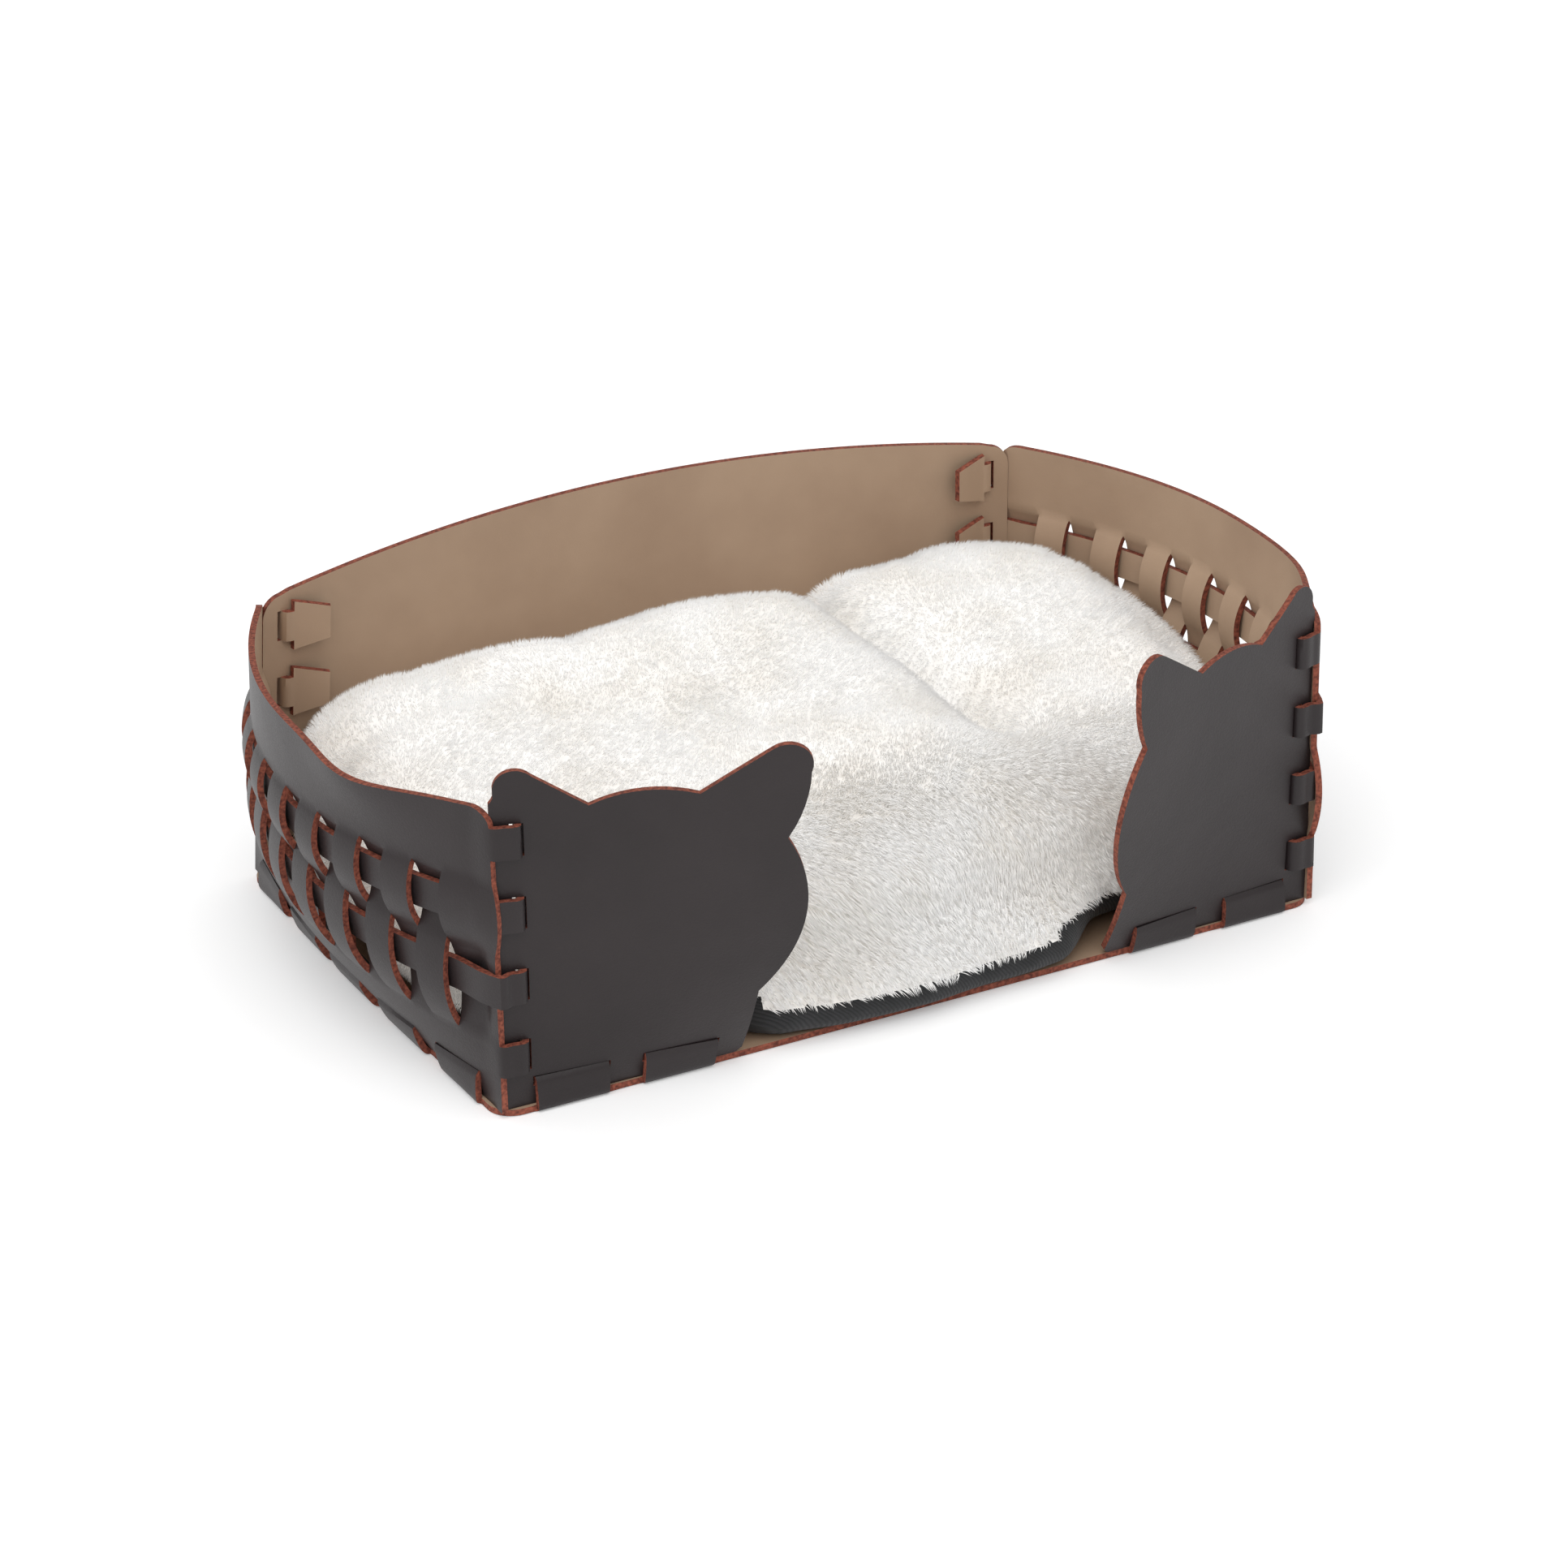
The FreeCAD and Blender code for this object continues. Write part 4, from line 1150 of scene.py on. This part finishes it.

# %% [markdown]
# The bag has two cloths: a fine ribbed charcoal cloth underneath and knitted fur backing above.
# Twill is woven in slanting ribs, so a wave texture lifts its ribs, with painted light on their tops
# and painted shade in the grooves between them. White fur takes little texture; it has a soft sheen
# and a faint painted glow, an emission that stands in for the light that passes from hair to hair.

# %% Cloth materials
def ribbed_cloth(name, low, high, rib_mm):
    """Twill: fine slanting ribs, soft and matt, with painted light on the ribs and painted shade
    between them.
    """
    material = blank_material(name)
    place = add_node(material, "ShaderNodeTexCoord").outputs["Object"]
    colour = two_tone(material, place, 18, low, high)
    # A diagonal wave texture's bands are 0.363 / scale metres apart.
    ribs = add_node(material, "ShaderNodeTexWave",
                    {"wave_type": "BANDS", "bands_direction": "DIAGONAL",
                     "Scale": 0.363 / (rib_mm * MM), "Distortion": 0.6, "Detail": 1.0},
                    {"Vector": place})
    # The rib texture scales the colour: lighter rib tops are painted light and darker grooves painted
    # shade.
    painted_rib_shading = add_node(material, "ShaderNodeMapRange", {"To Min": 0.55, "To Max": 1.25},
                   {"Value": ribs.outputs["Fac"]})
    shade = add_node(material, "ShaderNodeVectorMath", {"operation": "SCALE"},
                     {0: colour, "Scale": painted_rib_shading.outputs[0]})
    bump = add_node(material, "ShaderNodeBump", {"Strength": 0.8, "Distance": 0.5 * MM},
                    {"Height": ribs.outputs["Fac"]})
    shader = add_node(material, "ShaderNodeBsdfPrincipled",
                      {"Roughness": 0.9, "Sheen Weight": 0.08, "Sheen Roughness": 0.5},
                      {"Base Color": shade.outputs[0], "Normal": bump.outputs["Normal"]})
    return finish_material(material, shader)


def pile(name, low, high):
    """Acrylic fur: near white and slightly warmer in random patches, with a faint painted glow."""
    material = blank_material(name)
    place = add_node(material, "ShaderNodeTexCoord").outputs["Object"]
    colour = two_tone(material, place, 55, low, high, detail=4.0, centre=0.46, spread=0.14)
    shader = add_node(material, "ShaderNodeBsdfPrincipled",
                      {"Roughness": 0.75, "Sheen Weight": 0.3, "Sheen Roughness": 0.4,
                       # The emission is a painted glow that stands in for the light passing from hair
                       # to hair in real fur.
                       "Emission Color": linear("#fdfdfb"), "Emission Strength": 0.12},
                      {"Base Color": colour})
    return finish_material(material, shader)


# The real twill's ribs are about 0.8 mm apart; they are drawn at 1.6 mm so that they show.
UNDER_CLOTH = ribbed_cloth("cotton_twill_charcoal", "#1e1f20", "#2b2b2d", 1.6)
FUR_PILE = pile("acrylic_fur_white", "#e9e6e2", "#f2f1f0")
# The backing's knit colour is drawn a little darker than the pile as painted shade deep in the fur, and
# it carries the pile's painted glow.
FUR_BACKING = pile("fur_backing_knit", "#e6e2dc", "#edebe8")
print("cloths:", UNDER_CLOTH.name, FUR_PILE.name, FUR_BACKING.name)

# %% [markdown]
# The seam between the two cloths is low at the entrance and higher towards the sides. The cloths
# are given to faces by their height, so the bag stays one closed piece.

# %% The seam
def seam_height(x, y):
    """Height of the seam between the underside's cloth and the fur."""
    at_front = 23.0 + 13.0 * np.minimum(1.6, (np.abs(x) / 135.0) ** 2) + 1.6 * np.sin(x / 13.0)
    return at_front + (36.0 - at_front) * ease((y + 150.0) / 60.0)


def split_cloths(piece):
    for material in (FUR_BACKING, UNDER_CLOTH):
        piece.data.materials.append(material)
    x, y, z = (face_centres(piece) / MM).T
    piece.data.polygons.foreach_set("material_index", (z < seam_height(x, y)).astype(int))
    piece.data.update()


split_cloths(bag)
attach(bag, "cushion")
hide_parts("cushion_underside", "cushion_filling", "cushion_fur_cover")
print("the seam is", round(float(seam_height(0.0, CUSHION_FRONT)), 1), "mm up at the entrance")

# %% [markdown]
# ## Fur
# Fur this long has an outline of its own, so it is real strands and not a bump map. One strand is
# modelled as a thin three-sided cone with a joint in its middle. It is copied about 160,000
# times, each copy combed downhill, bent, and drawn towards its tuft.

# %% One strand
def make_strand(jointed):
    """Points and triangles of a thin three-sided cone along Z, with a joint halfway up if it bends."""
    deselect_all()
    bpy.ops.mesh.primitive_cone_add(vertices=3, radius1=1.0, radius2=0.0, depth=1.0,
                                    end_fill_type="NGON", location=(0, 0, 0.5))
    strand = bpy.context.object
    bpy.ops.object.transform_apply(location=True, rotation=False, scale=False)
    edit_mode()
    if jointed:
        bpy.ops.mesh.select_all(action="SELECT")
        bpy.ops.mesh.bisect(plane_co=(0, 0, 0.5), plane_no=(0, 0, 1))
    bpy.ops.mesh.select_all(action="SELECT")
    bpy.ops.mesh.quads_convert_to_tris()
    edit_mode(False)
    points = points_of(strand)
    triangles = np.array([list(p.vertices) for p in strand.data.polygons])
    bpy.data.objects.remove(strand)
    fat_middle = np.where(np.abs(points[:, 2] - 0.5) < 0.01, 1.5, 1.0)
    points[:, :2] *= fat_middle[:, None]
    return points, triangles


LONG_STRAND, SHORT_STRAND = make_strand(True), make_strand(False)
print("a long strand has", len(LONG_STRAND[1]), "triangles and a short one", len(SHORT_STRAND[1]))

# %% [markdown]
# Roots are thrown at random on the fur part of the bag, each face getting its share by its area.
# The pile is combed along the surface, downhill and forward, with slow swirls.

# %% Where the strands grow
STRAND_SPACING, QUICK_SPACING = 1.45, 2.6      # millimetres between strands
rng = np.random.default_rng(11)


def grow_roots(piece, spacing):
    """Random roots on the fur part of the bag, evenly over its area, with their normals."""
    mesh = piece.data
    mesh.calc_loop_triangles()
    corners = np.empty(len(mesh.loop_triangles) * 3, int)
    mesh.loop_triangles.foreach_get("vertices", corners)
    corners = corners.reshape(-1, 3)
    material = np.empty(len(mesh.polygons), int)
    mesh.polygons.foreach_get("material_index", material)
    owner = np.empty(len(mesh.loop_triangles), int)
    mesh.loop_triangles.foreach_get("polygon_index", owner)
    corners = corners[material[owner] == 0]
    points = points_of(piece) / MM
    normals = np.empty(len(mesh.vertices) * 3)
    mesh.vertices.foreach_get("normal", normals)
    normals = normals.reshape(-1, 3)
    a, b, c = (points[corners[:, i]] for i in range(3))
    area = np.linalg.norm(np.cross(b - a, c - a), axis=1) / 2
    count = int(area.sum() / spacing ** 2)
    chosen = rng.choice(len(area), count, p=area / area.sum())
    u, v = rng.random(count), rng.random(count)
    over = u + v > 1
    u[over], v[over] = 1 - u[over], 1 - v[over]
    w = np.stack([1 - u - v, u, v], axis=1)
    trio = corners[chosen]
    roots = (points[trio] * w[:, :, None]).sum(axis=1)
    outward = (normals[trio] * w[:, :, None]).sum(axis=1)
    return roots, outward / np.linalg.norm(outward, axis=1)[:, None]


def unit(vectors):
    return vectors / np.maximum(np.linalg.norm(vectors, axis=1), 1e-9)[:, None]


def comb(roots, normals):
    """Direction that the pile lies in: downhill and forward, with slow swirls."""
    x, y, z = roots.T
    swirl = np.stack([np.sin(x / 37 + y / 53) + np.sin(y / 23 + 2), np.cos(x / 41 - y / 33) * 0.9,
                      np.zeros(len(x))], axis=1)
    flow = np.array([0.1, -0.9, -0.9]) + swirl * 0.45
    flow -= normals * (flow * normals).sum(axis=1)[:, None]
    return unit(flow)


roots, outward = grow_roots(bag, STRAND_SPACING)
print(len(roots), "strands")

# %% [markdown]
# Each strand has a lower part that stands up and an upper part that lies over. Its tip is pulled
# towards the middle strand of its tuft. It is longest at the entrance and short along the hem.

# %% Comb, bend and tuft them
TUFT_SPACING = 6.5
FUR_LENGTH, ENTRANCE_EXTRA, HEM_LESS = 6.0, 6.5, 4.0
FUR_LEAN, FUR_WIDTH, FUR_JITTER = 0.55, 0.38, 0.1


def tuft_centres(roots, spacing):
    """For each strand, the number of the strand at the middle of its tuft."""
    count = max(1, int(len(roots) * (STRAND_SPACING / spacing) ** 2))
    leaders = rng.choice(len(roots), count, replace=False)
    tree = KDTree(count)
    for i, leader in enumerate(leaders):
        tree.insert(roots[leader], i)
    tree.balance()
    return np.array([leaders[tree.find(root)[1]] for root in roots])


def fur_lines(roots, normals):
    """Root, middle and tip of every strand, its two sideways directions and its width."""
    x, y, z = roots.T
    count = len(roots)
    flow = comb(roots, normals)
    front = ease((-y - 105) / 50.0)
    hem = ease(1 - (z - seam_height(x, y)) / 16.0) * ease((-y - 120) / 40.0)
    length = (FUR_LENGTH + ENTRANCE_EXTRA * front - HEM_LESS * hem) * rng.uniform(0.8, 1.2, count)
    lean = FUR_LEAN + 0.17 * front - 0.2 * hem
    jitter = rng.normal(0, FUR_JITTER, (count, 3))
    low_part = unit(normals * (1.05 - lean * 0.45)[:, None] + flow * (lean * 0.55)[:, None]
                    + jitter * 0.6)
    high_part = unit(normals * (1 - lean)[:, None] * 0.9 + flow * lean[:, None] + jitter)
    middles = roots + low_part * (length * 0.5)[:, None]
    tips = middles + high_part * (length * 0.5)[:, None]
    leader = tuft_centres(roots, TUFT_SPACING)
    pull = (0.24 + 0.1 * front + 0.2 * hem) * rng.uniform(0.5, 1.2, count)
    tips = tips + (tips[leader] - tips) * pull[:, None]
    middles = middles + (middles[leader] - middles) * (pull * 0.35)[:, None]
    side = unit(np.cross(low_part, rng.normal(0, 1, (count, 3))))
    other = np.cross(low_part, side)
    width = (FUR_WIDTH + 0.04 * front) * rng.uniform(0.8, 1.2, count)
    return roots - normals, middles, tips, side, other, width


lines = fur_lines(roots, outward)
print("the longest strand is", round(float(np.linalg.norm(lines[2] - lines[0], axis=1).max()), 1), "mm")

# %% [markdown]
# The copies are gathered in a few meshes, from left to right, because one mesh of all strands
# would be too heavy to handle. Only the strands near the entrance need a joint to bend at.

# %% Strands into meshes
def copies_of(strand, lines):
    """Points (strand, point, 3) of one copy of the strand on each line."""
    base, middles, tips, side, other, width = lines
    points = strand[0]
    grid = np.empty((len(base), len(points), 3))
    for j, (px, py, pz) in enumerate(points):
        place = base if pz < 0.25 else (middles if pz < 0.75 else tips)
        grid[:, j] = place + side * (px * width)[:, None] + other * (py * width)[:, None]
    return grid


def mesh_from(name, grid, faces):
    """One mesh of many strands."""
    count, per = grid.shape[:2]
    triangles = (faces[None] + per * np.arange(count)[:, None, None]).reshape(-1, 3)
    mesh = bpy.data.meshes.new(name)
    mesh.vertices.add(count * per)
    mesh.vertices.foreach_set("co", (grid * MM).ravel())
    mesh.loops.add(triangles.size)
    mesh.loops.foreach_set("vertex_index", triangles.ravel())
    mesh.polygons.add(len(triangles))
    mesh.polygons.foreach_set("loop_start", np.arange(0, triangles.size, 3))
    mesh.update(calc_edges=True)
    mesh.validate()
    piece = bpy.data.objects.new(name, mesh)
    bpy.context.scene.collection.objects.link(piece)
    only(piece)
    bpy.ops.object.shade_smooth()
    mesh.materials.append(FUR_PILE)
    return piece


is_long = ease((-roots[:, 1] - 80) / 40.0) > rng.random(len(roots))
PIECE_LIMIT = 195000                           # triangles in one mesh of strands
number = 0
for strand, wanted in ((LONG_STRAND, is_long), (SHORT_STRAND, ~is_long)):
    chosen = np.nonzero(wanted)[0]
    chosen = chosen[np.argsort(roots[chosen, 0], kind="stable")]
    per_piece = PIECE_LIMIT // len(strand[1])
    for start in range(0, len(chosen), per_piece):
        rows = chosen[start:start + per_piece]
        number += 1
        grid = copies_of(strand, [part[rows] for part in lines])
        tuft = mesh_from("fur_pile_%d" % number, grid, strand[1])
        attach(tuft, "cushion")
        print(tuft.name, len(tuft.data.polygons), "triangles")

# %% [markdown]
# ## Studio
# The floor is plain and pale. A sun with a wide disc lights it evenly from above, one long soft
# light gives the leather a broad gentle highlight, and a pale surround fills the shadows.

# %% Floor and lights
SURROUND = 0.68                                # strength of the light from all round


def studio():
    deselect_all()
    bpy.ops.mesh.primitive_plane_add(size=12, location=(0, 0, -0.0005))
    floor = bpy.context.object
    floor.name = "studio_floor"
    material = blank_material("matt_white_floor")
    shader = add_node(material, "ShaderNodeBsdfPrincipled",
                      {"Base Color": linear("#f6f6f6"), "Roughness": 0.9,
                       "Emission Color": linear("#ffffff"), "Emission Strength": 0.2})
    finish_material(material, shader)
    floor.data.materials.append(material)


def soft_light(name, place, aim, size, watts):
    bpy.ops.object.light_add(type="AREA", location=place)
    light = bpy.context.object
    light.name = name
    light.data.shape = "RECTANGLE"
    light.data.size, light.data.size_y = size
    light.data.energy = watts
    light.rotation_euler = (Vector(aim) - Vector(place)).to_track_quat("-Z", "Y").to_euler()


def soft_sun(name, direction, strength, spread):
    """A sun with a wide disc: even light over the whole floor and shadows without edges."""
    bpy.ops.object.light_add(type="SUN", location=Vector(direction) * -2)
    sun = bpy.context.object
    sun.name = name
    sun.data.energy = strength
    sun.data.angle = math.radians(spread)
    sun.rotation_euler = Vector(direction).to_track_quat("-Z", "Y").to_euler()


studio()
soft_sun("overhead_softbox", (0.25, 0.6, -1.0), 1.35, 60)
soft_light("strip_from_left", (-2.4, -0.6, 1.5), (0, 0, 0.1), (1.2, 1.6), 9)
world = bpy.data.worlds.new("pale_surround")
world.use_nodes = True
background = world.node_tree.nodes["Background"]
background.inputs["Color"].default_value = linear("#ffffff")
background.inputs["Strength"].default_value = SURROUND
bpy.context.scene.world = world
bpy.context.scene.view_settings.view_transform = "Standard"
bpy.context.scene.cycles.diffuse_bounces = 8   # white fur is bright because light bounces in it
